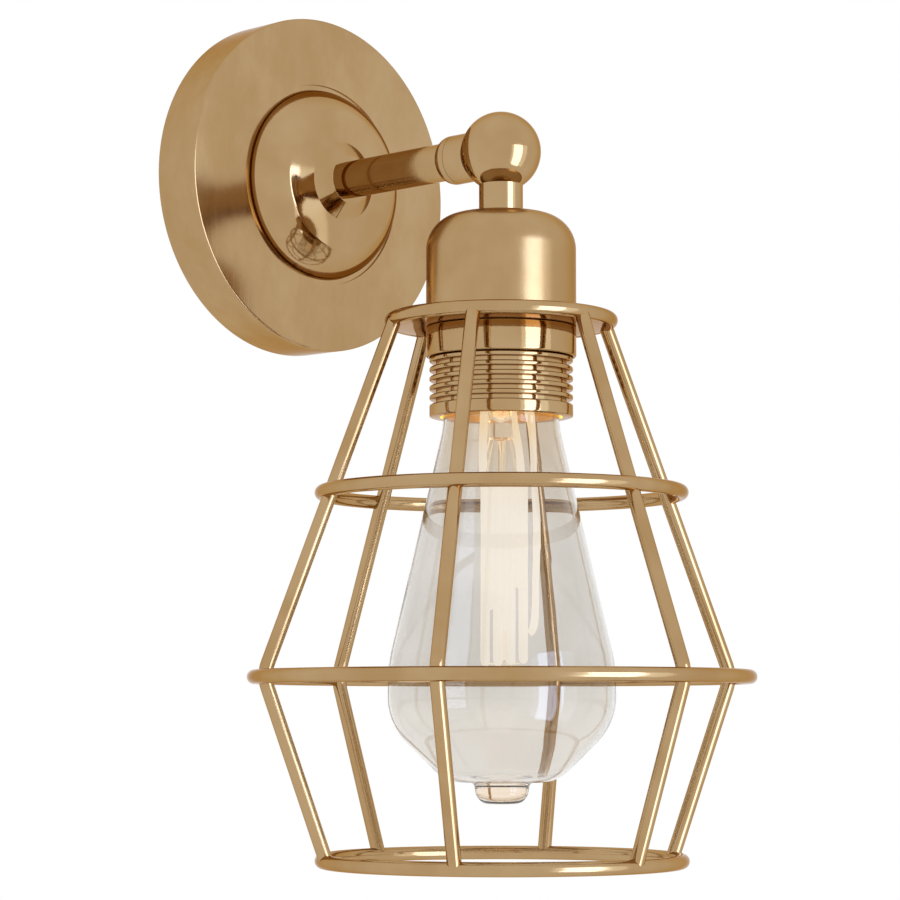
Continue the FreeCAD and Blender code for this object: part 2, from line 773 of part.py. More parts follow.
def make_terminal_block():
    """Moulded block with a brass tube in each pole and two clamp screws per tube."""
    bar = block("block_bar", ["block_width", "block_depth", "block_height"],
                ["-block_width / 2", "block_front", "block_low"])
    cavities = []
    tubes = []
    screws = []
    for pole in range(int(SIZES["pole_count"])):
        across = "(%d - (pole_count - 1) / 2) * pole_pitch" % pole
        cavities.append(rod("pole_cavity_%d" % pole, "pole_radius", "block_height + 2 * cut_overrun",
                            "+Z", x=across, y="pole_middle", z="block_low - cut_overrun"))
        outer = rod("pole_outer_%d" % pole, "pole_radius", "block_height - 2 * pole_inset",
                    "+Z", x=across, y="pole_middle", z="block_low + pole_inset")
        inner = rod("pole_inner_%d" % pole, "pole_bore_radius", "block_height + 2 * cut_overrun",
                    "+Z", x=across, y="pole_middle", z="block_low - cut_overrun")
        threads = []
        for side, share in (("low", "pole_screw_share"), ("high", "(1 - pole_screw_share)")):
            height = "block_low + %s * block_height" % share
            label = "%d_%s" % (pole, side)
            threads.append(rod("pole_thread_" + label, "clamp_screw_radius", "pole_radius + cut_overrun",
                               "-Y", x=across, y="pole_middle", z=height))
            cavities.append(rod("pole_access_" + label, "clamp_screw_radius + loose_hole_gap",
                                "block_depth", "-Y", x=across, y="pole_middle", z=height))
            screws.append(rod("pole_screw_" + label, "clamp_screw_radius",
                              "pole_radius + pole_screw_stand - pole_screw_tip", "-Y",
                              x=across, y="pole_middle - pole_screw_tip", z=height))
        tubes.append(cut("pole_tube_%d" % pole, outer, [inner] + threads))
    fixing = rod("block_fixing_hole", "clamp_screw_radius", "2 * block_depth", "-Y",
                 x="pole_pitch / 2", z="block_middle")
    node(cut("block_body", bar, cavities + [fixing]), "terminal_block")
    node(group("block_tubes", tubes), "terminal_tubes")
    node(group("block_screws", screws), "terminal_screws")


def pan_screw(name, radius, length, x, y, z):
    """Pan-head screw with a cross slot, its head's underside at the given place, driven to +Y."""
    rise = "pan_head_rise * " + radius
    head = rod(name + "_head", "pan_head_share * " + radius, rise, "-Y", x, y, z)
    shank = rod(name + "_shank", radius, length, "+Y", x, y, z)
    long_side = "cross_length_share * " + radius
    short_side = "cross_slot_share * " + radius
    slots = []
    for turn, wide, high in (("across", long_side, short_side), ("upright", short_side, long_side)):
        slots.append(block("%s_slot_%s" % (name, turn), [wide, "cross_slot_depth + cut_overrun", high],
                           ["%s - %s / 2" % (x, wide), "%s - %s - cut_overrun" % (y, rise),
                            "%s - %s / 2" % (z, high)]))
    return cut(name, fuse(name + "_blank", [head, shank]), slots)


def make_bracket_screws():
    """The earth screw with its cupped washer, and the screw that holds the terminal block."""
    washer = rod("earth_cup", "earth_washer_radius", "earth_washer_height", "-Y",
                 y="-bracket_sheet", z="earth_screw_rise")
    hole = rod("earth_cup_hole", "earth_screw_radius", "3 * earth_washer_height", "-Y",
               y="-earth_washer_height", z="earth_screw_rise")
    node(cut("earth_cup_body", washer, [hole]), "earth_washer")
    node(pan_screw("earth_screw_body", "earth_screw_radius", "earth_screw_length", "0",
                   "-(bracket_sheet + earth_washer_height)", "earth_screw_rise"), "earth_screw")
    node(pan_screw("block_screw_body", "clamp_screw_radius", "block_depth + bracket_sheet - screw_gap",
                   "pole_pitch / 2", "block_front", "block_middle"), "block_screw")


# ---------------------------------------------------------------- knuckle
def make_stem():
    """Hollow stem: its wide end turns in the arm, its thin end passes the slot of the ball."""
    body = new_body("stem_body")
    sketch = outline(body, "stem_outline", "YZ_Plane", [
        ("stem_front", "stem_bore_radius"),
        ("stem_length", "stem_bore_radius"),
        ("stem_length", "stem_rear_radius"),
        ("seam_back", "stem_rear_radius"),
        ("seam_back", "stem_radius"),
        ("stem_front", "stem_radius"),
    ])
    turn = body.newObject("PartDesign::Revolution", "stem_turn")
    turn.Profile = sketch
    turn.ReferenceAxis = (sketch, ["H_Axis"])
    turn.Angle = 360
    groove_sketch = outline(body, "stop_groove_outline", "YZ_Plane", [
        ("stop_screw_back - groove_half_width", "groove_floor"),
        ("stop_screw_back + groove_half_width", "groove_floor"),
        ("stop_screw_back + groove_half_width", "stem_rear_radius + cut_overrun"),
        ("stop_screw_back - groove_half_width", "stem_rear_radius + cut_overrun"),
    ])
    groove = body.newObject("PartDesign::Groove", "stop_groove")
    groove.Profile = groove_sketch
    groove.ReferenceAxis = (groove_sketch, ["H_Axis"])
    groove.Midplane = True
    bind(groove, "Angle", "2 * (swivel_each_way + stop_pin_angle + stop_slack_angle)")
    body.Tip = groove
    place(body, y="lamp_y")
    node(body, "swivel_stem")


def make_collar():
    """The seat on the arm side: its hollow face follows the ball."""
    node(arm_turned("collar_body", [
        ("stem_radius", "seam_back"),
        ("stem_radius", "sqrt(seat_radius ^ 2 - stem_radius ^ 2)"),
        ("arc", "seat_radius", -1),
        ("collar_radius", "sqrt(seat_radius ^ 2 - collar_radius ^ 2)"),
        ("collar_radius", "seam_back"),
    ]), "swivel_collar")


def make_ball_clamp():
    """Inside the ball: a rounded friction washer, a spring washer and the nut on the stem."""
    node(arm_turned("friction_washer_body", [
        ("stem_radius", "press_flat"),
        ("press_rim", "press_flat"),
        ("press_rim", "press_radius * cos(friction_washer_angle)"),
        ("arc", "press_radius", 1),
        ("stem_radius", "sqrt(press_radius ^ 2 - stem_radius ^ 2)"),
    ]), "friction_washer")
    nut_y = "lamp_y + clamp_nut_front"
    spring_y = nut_y + " + clamp_nut_height"
    through = "spring_washer_height + 2 * cut_overrun"
    spring = rod("spring_washer_disc", "stem_radius + spring_washer_width", "spring_washer_height",
                 "+Y", y=spring_y)
    gap = block("spring_washer_gap", ["spring_washer_split", through, "2 * stem_radius"],
                ["-spring_washer_split / 2", spring_y + " - cut_overrun", "0"])
    hole = rod("spring_washer_hole", "stem_radius", through, "+Y", y=spring_y + " - cut_overrun")
    node(cut("spring_washer_body", spring, [hole, gap]), "spring_washer")
    nut = hexagon("clamp_nut_bar", "clamp_nut_flats", "clamp_nut_height", "+Y", y=nut_y)
    bore = rod("clamp_nut_bore", "stem_radius", "clamp_nut_height + 2 * cut_overrun", "+Y",
               y=nut_y + " - cut_overrun")
    node(cut("clamp_nut_body", nut, [bore]), "clamp_nut")


def make_ball():
    """Hollow ball with a flat and a thread for the neck, and the slot that the stem runs in.
    The slot is drawn from the side: it is as wide as the stem and spans the whole tilt."""
    body = new_body("ball_body")
    sketch = outline(body, "ball_outline", "XZ_Plane", [
        ("0", "ball_radius"),
        ("0", "ball_inside"),
        ("arc", "ball_inside", -1),
        ("ball_inside", "0"),
        ("arc", "ball_inside", -1),
        ("ball_floor_radius", "-ball_floor_drop"),
        ("neck_thread_radius", "-ball_floor_drop"),
        ("neck_thread_radius", "-neck_flat_drop"),
        ("neck_radius", "-neck_flat_drop"),
        ("arc", "ball_radius", 1),
        ("ball_radius", "0"),
        ("arc", "ball_radius", 1),
    ])
    turn = body.newObject("PartDesign::Revolution", "ball_turn")
    turn.Profile = sketch
    turn.ReferenceAxis = (sketch, ["V_Axis"])
    turn.Angle = 360
    slot_sketch = outline(body, "ball_slot_outline", "YZ_Plane", [
        ("-slot_side * sin(tilt_back)", "-slot_side * cos(tilt_back)"),
        ("slot_reach * cos(tilt_back) - slot_side * sin(tilt_back)",
         "-slot_reach * sin(tilt_back) - slot_side * cos(tilt_back)"),
        ("ball_diameter * cos(slot_middle)", "ball_diameter * sin(slot_middle)"),
        ("slot_reach * cos(tilt_out) - slot_side * sin(tilt_out)",
         "slot_reach * sin(tilt_out) + slot_side * cos(tilt_out)"),
        ("-slot_side * sin(tilt_out)", "slot_side * cos(tilt_out)"),
    ])
    pocket = body.newObject("PartDesign::Pocket", "ball_slot")
    pocket.Profile = slot_sketch
    pocket.Midplane = True
    bind(pocket, "Length", "2 * slot_side")
    body.Tip = pocket
    place(body, y="lamp_y")
    node(body, "knuckle_ball")


# ---------------------------------------------------------------- lampholder
def make_neck():
    """Turned neck with a thread at each end: one in the ball, one in the cap of the lampholder."""
    node(lamp_turned("neck_body", [
        ("neck_bore_radius", "-ball_floor_drop"),
        ("neck_thread_radius", "-ball_floor_drop"),
        ("neck_thread_radius", "-neck_flat_drop"),
        ("neck_radius", "-neck_flat_drop"),
        ("neck_radius", "-cup_top_drop"),
        ("neck_thread_radius", "-cup_top_drop"),
        ("neck_thread_radius", "-cap_boss_drop"),
        ("neck_bore_radius", "-cap_boss_drop"),
    ]), "neck_tube")


def make_cup():
    """The drawn cup over the lampholder, with its round shoulder."""
    node(lamp_turned("cup_body", [
        ("neck_thread_radius", "-cup_top_drop"),
        ("cup_radius", "-cup_top_drop", "cup_round"),
        ("cup_radius", "-cage_top_drop"),
        ("cup_inside", "-cage_top_drop"),
        ("cup_inside", "-cup_ceiling_drop", "cup_round - cup_wall"),
        ("neck_thread_radius", "-cup_ceiling_drop"),
    ]), "socket_cup")


def make_holder():
    """Lampholder: its threaded cap, and the sleeve with the thread of ribs below it."""
    crown_inside = "-(cap_crown_drop + holder_cap_crown_wall)"
    node(lamp_turned("holder_cap_body", [
        ("neck_thread_radius", "-cup_ceiling_drop"),
        ("cap_boss_radius", "-cup_ceiling_drop"),
        ("cap_boss_radius", "-cap_crown_drop"),
        ("holder_cap_crown_radius", "-cap_crown_drop"),
        ("cap_skirt_radius", "-cap_corner_drop"),
        ("cap_skirt_radius", "-cap_skirt_drop"),
        ("cap_skirt_inside", "-cap_skirt_drop"),
        ("cap_skirt_inside", "-holder_ledge_drop"),
        ("core_radius - holder_cap_lip", "-holder_ledge_drop"),
        ("core_radius - holder_cap_lip", "-(holder_ledge_drop - holder_cap_lip_height)"),
        ("holder_cap_crown_radius - holder_cap_crown_inset", crown_inside),
        ("cap_boss_radius", crown_inside),
        ("cap_boss_radius", "-cap_boss_drop"),
        ("neck_thread_radius", "-cap_boss_drop"),
    ]), "holder_cap")
    sleeve = lamp_turned("sleeve_body", [
        ("holder_inner_radius", "-holder_ledge_drop"),
        ("cap_skirt_inside", "-holder_ledge_drop"),
        ("cap_skirt_inside", "-cap_skirt_drop"),
        ("holder_radius", "-cap_skirt_drop"),
        ("holder_radius", "-cage_sheet_drop"),
        ("rib_radius", "-cage_sheet_drop"),
        ("rib_radius", "-holder_bottom_drop", "rib_round"),
        ("holder_inner_radius", "-holder_bottom_drop"),
        ("holder_inner_radius", "-(core_bottom_drop + ledge_height)"),
        ("ledge_radius", "-(core_bottom_drop + ledge_height)"),
        ("ledge_radius", "-core_bottom_drop"),
        ("holder_inner_radius", "-core_bottom_drop"),
    ])
    add_rib_gaps(sleeve)
    node(sleeve, "holder_sleeve")


def add_rib_gaps(sleeve):
    """Cut the gaps that leave the ribs standing: one gap, repeated upwards at the rib pitch."""
    low = "-(holder_bottom_drop - land_height)"
    gap_sketch = outline(sleeve, "rib_gap_outline", "XZ_Plane", [
        ("rib_root_radius", low),
        ("rib_radius - rib_round", low),
        ("arc", "rib_round", -1),
        ("rib_radius", low + " - rib_round"),
        ("rib_radius + cut_overrun", low + " - rib_round"),
        ("rib_radius + cut_overrun", low + " + rib_gap + rib_round"),
        ("rib_radius", low + " + rib_gap + rib_round"),
        ("arc", "rib_round", -1),
        ("rib_radius - rib_round", low + " + rib_gap"),
        ("rib_root_radius", low + " + rib_gap"),
    ])
    groove = sleeve.newObject("PartDesign::Groove", "rib_gap_turn")
    groove.Profile = gap_sketch
    groove.ReferenceAxis = (gap_sketch, ["V_Axis"])
    groove.Angle = 360
    doc.recompute()
    pattern = sleeve.newObject("PartDesign::LinearPattern", "rib_gaps")
    pattern.Originals = [groove]
    pattern.Direction = (gap_sketch, ["V_Axis"])
    bind(pattern, "Length", "(rib_gap_count - 1) * rib_pitch")
    bind(pattern, "Occurrences", "rib_gap_count")
    sleeve.Tip = pattern


def make_core():
    """Ceramic core with the well for the screw shell and the hole for the middle contact."""
    core = lamp_turned("core_body", [
        ("core_rivet_radius", "-holder_ledge_drop"),
        ("core_radius", "-holder_ledge_drop"),
        ("core_radius", "-core_bottom_drop"),
        ("shell_radius", "-core_bottom_drop"),
        ("shell_radius", "-core_floor_drop"),
        ("core_rivet_radius", "-core_floor_drop"),
    ])
    holes = []
    for side, sign in (("left", "-"), ("right", "")):
        holes.append(rod("core_screw_hole_" + side, "clamp_screw_radius",
                         "core_screw_hole_depth + cut_overrun", "+Z", x=sign + "core_terminal_offset",
                         y="lamp_y", z="-(holder_ledge_drop + core_screw_hole_depth)"))
    node(cut("core_drilled", core, holes), "socket_core")


def make_shell():
    """Brass screw shell of the socket, smooth inside, with a turned-in rim at its top."""
    node(lamp_turned("shell_body", [
        ("shell_radius - shell_rim", "-core_floor_drop"),
        ("shell_radius", "-core_floor_drop"),
        ("shell_radius", "-shell_bottom_drop"),
        ("shell_inside", "-shell_bottom_drop"),
        ("shell_inside", "-(core_floor_drop + shell_sheet)"),
        ("shell_radius - shell_rim", "-(core_floor_drop + shell_sheet)"),
    ]), "screw_shell")


def make_middle_contact():
    """The contact that touches the lamp's button, riveted through the core."""
    face = "-(contact_top_drop - middle_contact_gap)"
    node(lamp_turned("contact_body", [
        ("0", "-rivet_top_drop"),
        ("core_rivet_head_radius", "-rivet_top_drop"),
        ("core_rivet_head_radius", "-holder_ledge_drop"),
        ("core_rivet_radius", "-holder_ledge_drop"),
        ("core_rivet_radius", "-core_floor_drop"),
        ("middle_contact_radius", "-core_floor_drop"),
        ("middle_contact_radius", face),
        ("0", face),
    ]), "middle_contact")


def make_core_terminals():
    """Two flat terminal plates on top of the core, each with its slotted screw."""
    plates = []
    screws = []
    for side, sign in (("left", "-"), ("right", "")):
        middle = sign + "core_terminal_offset"
        plate = block("terminal_sheet_" + side,
                      ["core_plate_width", "core_plate_length", "core_plate_sheet"],
                      [middle + " - core_plate_width / 2", "lamp_y - core_plate_length / 2",
                       "-holder_ledge_drop"])
        hole = rod("terminal_sheet_hole_" + side, "clamp_screw_radius", "3 * core_plate_sheet", "+Z",
                   x=middle, y="lamp_y", z="-holder_ledge_drop - core_plate_sheet")
        plates.append(cut("terminal_plate_" + side, plate, [hole]))
        head = rod("terminal_head_" + side, "core_head_radius", "core_head_height", "+Z",
                   x=middle, y="lamp_y", z="-core_sheet_drop")
        shank = rod("terminal_shank_" + side, "clamp_screw_radius",
                    "core_plate_sheet + core_screw_hole_depth - screw_gap", "-Z",
                    x=middle, y="lamp_y", z="-core_sheet_drop")
        slot = block("terminal_slot_" + side,
                     ["core_plate_width", "core_head_slot", "core_head_slot_depth + cut_overrun"],
                     [middle + " - core_plate_width / 2", "lamp_y - core_head_slot / 2",
                      "-(core_head_drop + core_head_slot_depth)"])
        screws.append(cut("terminal_screw_" + side, fuse("terminal_blank_" + side, [head, shank]), [slot]))
    node(group("core_plates", plates), "core_terminal_plates")
    node(group("core_screws", screws), "core_terminal_screws")


# ---------------------------------------------------------------- cage
RINGS = {"top": "cage_ring_top", "upper": "cage_ring_upper",
         "wide": "cage_ring_wide", "bottom": "cage_ring_bottom"}


def ring(name, which, y="0"):
    made = doc.addObject("Part::Torus", name)
    bind(made, "Radius1", "ring_%s_radius" % which)
    bind(made, "Radius2", "wire_radius")
    place(made, y=y, z="-ring_%s_drop" % which)
    return made


def cage_disc(name):
    """The flat top of the cage before the top ring is let into its edge."""
    return turned(name, "XZ_Plane", [
        ("clamp_ring_bore", "-cage_sheet_drop"),
        ("ring_top_radius", "-cage_sheet_drop"),
        ("ring_top_radius", "-cage_top_drop"),
        ("clamp_ring_bore", "-cage_top_drop"),
    ])


def make_clamp_ring():
    """The plain ring that screws up over the ribs and clamps the cage under the cup."""
    node(lamp_turned("clamp_ring_body", [
        ("clamp_ring_bore", "-cage_sheet_drop"),
        ("cup_radius", "-cage_sheet_drop"),
        ("cup_radius", "-clamp_ring_drop", "clamp_ring_round"),
        ("clamp_ring_bore", "-clamp_ring_drop"),
    ]), "clamp_ring")


def make_cage():
    """Flat top plate, four rings, and the bent wires, each cut to the rings that it is welded to."""
    top = cut("cage_plate_body", cage_disc("cage_disc"), [ring("plate_cope", "top")])
    place(top, y="lamp_y")
    node(top, "cage_plate")
    for which, name in RINGS.items():
        node(ring(name + "_body", which, "lamp_y"), name)
    tools = fuse("wire_copes", [ring("cope_" + which, which) for which in RINGS] + [cage_disc("cope_disc")])
    blank = bent_wire()
    for number in range(int(SIZES["wire_count"])):
        turn = "first_wire_angle + 360 / wire_count * %d" % number
        wire = doc.addObject("Part::Cut", "wire_%d_body" % (number + 1))
        wire.Base = blank
        wire.Tool = tools
        wire.Placement = FreeCAD.Placement(
            FreeCAD.Vector(), FreeCAD.Rotation(FreeCAD.Vector(0, 0, 1), value(turn)))
        bind(wire, "Placement.Rotation.Angle", turn)
        place(wire, y="lamp_y")
        node(wire, "cage_wire_%d" % (number + 1))


def bent_wire():
    """One side wire: a round bar along a path of two straight legs and a soft knee."""
    body = new_body("wire_blank")
    path = new_sketch(body, "wire_path", "XZ_Plane")
    draw_path(path, [
        ("ring_top_radius", "-wire_top_drop"),
        ("knee_radius", "-knee_drop", "knee_bend"),
        ("ring_bottom_radius", "-wire_bottom_drop"),
    ], False)
    doc.recompute()
    section = body.newObject("Sketcher::SketchObject", "wire_section")
    section.AttachmentSupport = [(path, "Edge1")]
    section.MapMode = "NormalToEdge"
    circle = section.addGeometry(Part.Circle(FreeCAD.Vector(), FreeCAD.Vector(0, 0, 1),
                                             value("wire_radius")), False)
    section.addConstraint(Sketcher.Constraint("Coincident", circle, 3, -1, 1))
    bind_radius(section, circle, "wire_radius")
    bar = body.newObject("PartDesign::AdditivePipe", "wire_bar")
    bar.Profile = section
    bar.Spine = (path, ["Edge1", "Edge2", "Edge3"])
    body.Tip = bar
    return body


# ---------------------------------------------------------------- lamp
def make_envelope():
    """Pear-shaped glass: neck in the cap, long cone, round chin, flat base and a drawn-off tip."""
    node(lamp_turned("envelope_body", [
        ("glass_rim_radius", "-glass_rim_drop"),
        ("glass_rim_radius", "-cap_bottom_drop"),
        ("lamp_neck_radius", "-lamp_neck_top_drop", "lamp_neck_round"),
        ("lamp_neck_radius", "-lamp_neck_drop", "lamp_neck_blend"),
        ("lamp_radius", "-lamp_wide_drop", "lamp_wide_blend"),
        ("lamp_radius", "-lamp_chin_drop", "lamp_chin_round"),
        ("lamp_base_radius", "-lamp_base_drop", "lamp_base_round"),
        ("tip_radius", "-lamp_base_drop", "tip_root_round"),
        ("tip_end_radius", "-tip_bottom_drop", "tip_round"),
        ("0", "-tip_bottom_drop"),
        ("0", "lamp_glass_wall - lamp_base_drop"),
        ("lamp_base_radius - glass_shift", "lamp_glass_wall - lamp_base_drop",
         "lamp_base_round - lamp_glass_wall"),
        ("lamp_radius - lamp_glass_wall", "glass_shift - lamp_chin_drop",
         "lamp_chin_round - lamp_glass_wall"),
        ("lamp_radius - lamp_glass_wall", "-lamp_wide_drop", "lamp_wide_blend"),
        ("lamp_neck_radius - lamp_glass_wall", "-lamp_neck_drop", "lamp_neck_blend"),
        ("lamp_neck_radius - lamp_glass_wall", "-lamp_neck_top_drop - glass_shift",
         "lamp_neck_round - lamp_glass_wall"),
        ("glass_rim_radius - lamp_glass_wall", "-cap_bottom_drop - glass_shift"),
        ("glass_rim_radius - lamp_glass_wall", "-glass_rim_drop"),
    ]), "lamp_envelope")


def make_lamp_cap():
    """Screw cap of the lamp, drawn smooth, with its glass insulator and the solder contact."""
    node(lamp_turned("lamp_cap_body", [
        ("cap_hole_radius", "-cap_top_drop"),
        ("lamp_cap_radius", "-cap_top_drop", "lamp_cap_round"),
        ("lamp_cap_radius", "-cap_bottom_drop"),
        ("cap_inside", "-cap_bottom_drop"),
        ("cap_inside", "-cap_top_drop - lamp_cap_sheet", "lamp_cap_round - lamp_cap_sheet"),
        ("cap_hole_radius", "-cap_top_drop - lamp_cap_sheet"),
    ]), "lamp_cap")
    node(lamp_turned("insulator_body", [
        ("insulator_bore", "-contact_bottom_drop - contact_slide_gap"),
        ("lamp_contact_radius + insulator_lip", "-contact_bottom_drop - contact_slide_gap"),
        ("cap_hole_radius", "-cap_top_drop"),
        ("cap_hole_radius", "-insulator_bottom_drop"),
        ("insulator_bore", "-insulator_bottom_drop"),
    ]), "lamp_cap_insulator")
    node(lamp_turned("contact_button", [
        ("0", "-contact_top_drop"),
        ("lamp_contact_flat", "-contact_top_drop"),
        ("lamp_contact_radius", "-contact_bottom_drop + lamp_contact_lip"),
        ("lamp_contact_radius", "-contact_bottom_drop"),
        ("contact_pin_radius", "-contact_bottom_drop"),
        ("contact_pin_radius", "-contact_bottom_drop - contact_pin_length"),
        ("0", "-contact_bottom_drop - contact_pin_length"),
    ]), "lamp_contact")


def make_lamp_stem():
    """Flared glass stem: pinch, long rod, and the button that holds the lower hooks."""
    return node(lamp_turned("stem_glass_body", [
        ("flare_radius - flare_wall", "-flare_top_drop"),
        ("flare_radius", "-flare_top_drop"),
        ("flare_root_radius", "-flare_root_drop"),
        ("pinch_radius", "-pinch_top_drop"),
        ("pinch_radius", "-pinch_bottom_drop"),
        ("stem_rod_radius", "-(pinch_bottom_drop + stem_taper)"),
        ("stem_rod_radius", "stem_button_height / 2 + stem_button_taper - lower_row_drop"),
        ("stem_button_radius", "stem_button_height / 2 - lower_row_drop"),
        ("stem_button_radius", "-stem_button_height / 2 - lower_row_drop"),
        ("0", "-stem_button_height - lower_row_drop"),
        ("0", "-(pinch_top_drop + flare_wall)"),
        ("pinch_radius - flare_wall", "-(pinch_top_drop - flare_wall)"),
        ("flare_root_radius - flare_wall", "-flare_root_drop"),
    ]), "lamp_stem")


def leg_point(leg, height):
    """A point on a filament leg. Two legs stand close together on either side of each loop."""
    loop, side = divmod(leg, 2)
    middle = value("filament_first_angle + %d * loop_angle" % loop)
    angle = math.radians(middle + (2 * side - 1) * value("half_gap_angle"))
    radius = value("filament_radius")
    return FreeCAD.Vector(radius * math.cos(angle), radius * math.sin(angle), height)


def filament_path(legs):
    """Up and down legs on a circle, joined by half turns, as one open line."""
    high = -value("filament_top_drop")
    low = -value("filament_bottom_drop")
    edges = []
    for leg in range(legs):
        start, finish = (high, low) if leg % 2 == 0 else (low, high)
        edges.append(Part.makeLine(leg_point(leg, start), leg_point(leg, finish)))
        if leg < legs - 1:
            edges.append(half_turn(leg_point(leg, finish), leg_point(leg + 1, finish), finish == high))
    return Part.Wire(edges)


def half_turn(start, finish, upwards):
    middle = (start + finish) / 2
    rise = (finish - start).Length / 2
    middle.z += rise if upwards else -rise
    return Part.Arc(start, middle, finish).toShape()


def computed(name, shape):
    """A piece whose shape is worked out here, standing on the lamp axis."""
    made = doc.addObject("Part::Feature", name)
    made.Shape = shape
    place(made, y="lamp_y")
    return made


def straight_wire(start, finish, radius):
    run = finish - start
    return Part.makeCylinder(radius, run.Length, start, run)


def make_filament(legs):
    """The filament in one length."""
    start = leg_point(0, -value("filament_top_drop"))
    circle = Part.makeCircle(value("filament_wire_radius"), start, FreeCAD.Vector(0, 0, -1))
    bar = filament_path(legs).makePipeShell([Part.Wire(circle)], True, False)
    node(computed("filament_bar", bar), "filament")


def make_supports(legs, stem):
    """A thin wire from the stem to each turn: upper ones from the pinch, lower ones from the button.
    Each starts inside the glass and is cut off at its surface."""
    thin = value("support_wire_radius")
    gap = value("filament_wire_radius + support_wire_radius + support_gap")
    supports = []
    for leg in range(legs - 1):
        first, second = leg_point(leg, 0), leg_point(leg + 1, 0)
        middle = (first + second) / 2
        outward = FreeCAD.Vector(middle).normalize()
        if leg % 2 == 0:
            rise = FreeCAD.Vector(0, 0, -value("lower_row_drop"))
            start = outward * value("stem_button_radius - 2 * support_wire_radius") + rise
            supports.append(straight_wire(start, middle - outward * gap + rise, thin))
        else:
            turn_top = (second - first).Length / 2 - value("filament_top_drop")
            start = outward * value("pinch_radius - 2 * support_wire_radius")
            start.z = -value("pinch_bottom_drop - 2 * support_wire_radius")
            supports.append(straight_wire(start, middle + FreeCAD.Vector(0, 0, turn_top + gap), thin))
    bars = computed("support_bars", Part.makeCompound(supports))
    node(cut("support_wires", bars, [stem]), "filament_supports")


def make_leads(legs, stem):
    """The two leads, from the ends of the filament up to the flare of the glass stem."""
    thin = value("support_wire_radius")
    leads = []
    for leg in (0, legs - 1):
        foot = leg_point(leg, value("filament_wire_radius + support_gap - filament_top_drop"))
        root = leg_point(leg, 0).normalize() * value("flare_radius - flare_wall")
        root.z = -value("flare_top_drop + flare_wall / 2")
        leads.append(straight_wire(root, foot, thin))
    bars = computed("lead_bars", Part.makeCompound(leads))
    node(cut("lead_wires_body", bars, [stem]), "lead_wires")


# ---------------------------------------------------------------- build
make_bracket()
wall_plate = make_canopy()
make_plate_screw()
make_plate_peg(wall_plate)
make_terminal_block()
make_bracket_screws()
make_boss()
make_arm()
make_ferrule()
make_stop_screw()
make_plate_nut()
make_stem()
make_collar()
make_ball_clamp()
make_ball()
make_neck()
make_cup()
make_holder()
make_core()
make_shell()
make_middle_contact()
make_core_terminals()
make_clamp_ring()
make_cage()
make_envelope()
make_lamp_cap()
glass_stem = make_lamp_stem()
filament_legs = 2 * int(SIZES["filament_loops"])
make_filament(filament_legs)
make_supports(filament_legs, glass_stem)
make_leads(filament_legs, glass_stem)
doc.recompute()

for thing in doc.Objects:
    if "Invalid" in thing.State or "Error" in thing.State:
        raise RuntimeError("%s did not build: %s" % (thing.Name, thing.State))

os.makedirs("parts", exist_ok=True)
for piece in NODES:
    shape = piece.Shape
    if shape.isNull() or not shape.isValid():
        raise RuntimeError("%s has a bad shape" % piece.Label)
    shape.exportStep("parts/%s.step" % piece.Label)
    box = shape.BoundBox
    print("%-22s solids %2d  volume %9.1f mm3  y %7.1f..%6.1f  z %7.1f..%6.1f" % (
        piece.Label, len(shape.Solids), shape.Volume, box.YMin, box.YMax, box.ZMin, box.ZMax))
print("nodes", len(NODES))
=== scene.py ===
# %% [markdown]
# # A cage wall light in polished copper
# The object is a wall light: a round plate on the wall, a stepped boss, a short arm, a ball knuckle,
# a cup over the lampholder, a wire cage and a pear-shaped filament lamp.
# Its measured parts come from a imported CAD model, which is loaded first and never moved. This lesson
# remodels the pieces that show with Blender's own tools, gives every piece a finish made of shader
# nodes, and lights the whole like a small studio.
# %% Load the frame
import json
import math

import bpy
from mathutils import Matrix, Vector


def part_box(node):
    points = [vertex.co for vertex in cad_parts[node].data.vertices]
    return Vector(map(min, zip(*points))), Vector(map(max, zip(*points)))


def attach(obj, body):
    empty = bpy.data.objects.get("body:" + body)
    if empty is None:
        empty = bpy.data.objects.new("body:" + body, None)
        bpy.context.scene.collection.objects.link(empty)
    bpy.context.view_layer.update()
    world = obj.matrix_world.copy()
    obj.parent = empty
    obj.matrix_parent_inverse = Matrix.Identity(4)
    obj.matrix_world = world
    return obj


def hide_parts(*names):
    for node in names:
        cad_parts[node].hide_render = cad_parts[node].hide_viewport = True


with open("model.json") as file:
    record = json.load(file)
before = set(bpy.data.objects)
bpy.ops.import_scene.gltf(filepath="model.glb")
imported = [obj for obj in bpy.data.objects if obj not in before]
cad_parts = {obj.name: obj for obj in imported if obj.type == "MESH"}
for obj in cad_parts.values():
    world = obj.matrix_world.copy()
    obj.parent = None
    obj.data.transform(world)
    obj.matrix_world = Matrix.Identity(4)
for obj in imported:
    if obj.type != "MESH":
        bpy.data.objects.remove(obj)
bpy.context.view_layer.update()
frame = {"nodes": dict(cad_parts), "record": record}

MM = 0.001
cup_low, cup_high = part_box("socket_cup")
LAMP_Y = round((cup_low.y + cup_high.y) / 2, 5)
LAMP_AXIS = Vector((0, LAMP_Y, 0))
UP = Vector((0, 0, 1))
ALONG_ARM = Vector((0, 1, 0))
print("lamp axis at y", LAMP_Y / MM, "mm")

# %% [markdown]
# ## Camera
# The photograph looks at the light from its left and a little from below, through a long lens, so the
# cage shows almost no perspective. A camera is a place, a direction and a lens. The direction is
# turned into a rotation by asking which rotation points the camera's own -Z that way, with Y up.
# %% Camera
CAMERA_PLACE = Vector((-603.871, -682.809, -159.83)) * MM
LINE_OF_SIGHT = Vector((0.69967501, 0.70901796, 0.08802505))
FILM_WIDTH = 36
LENS = 120.34

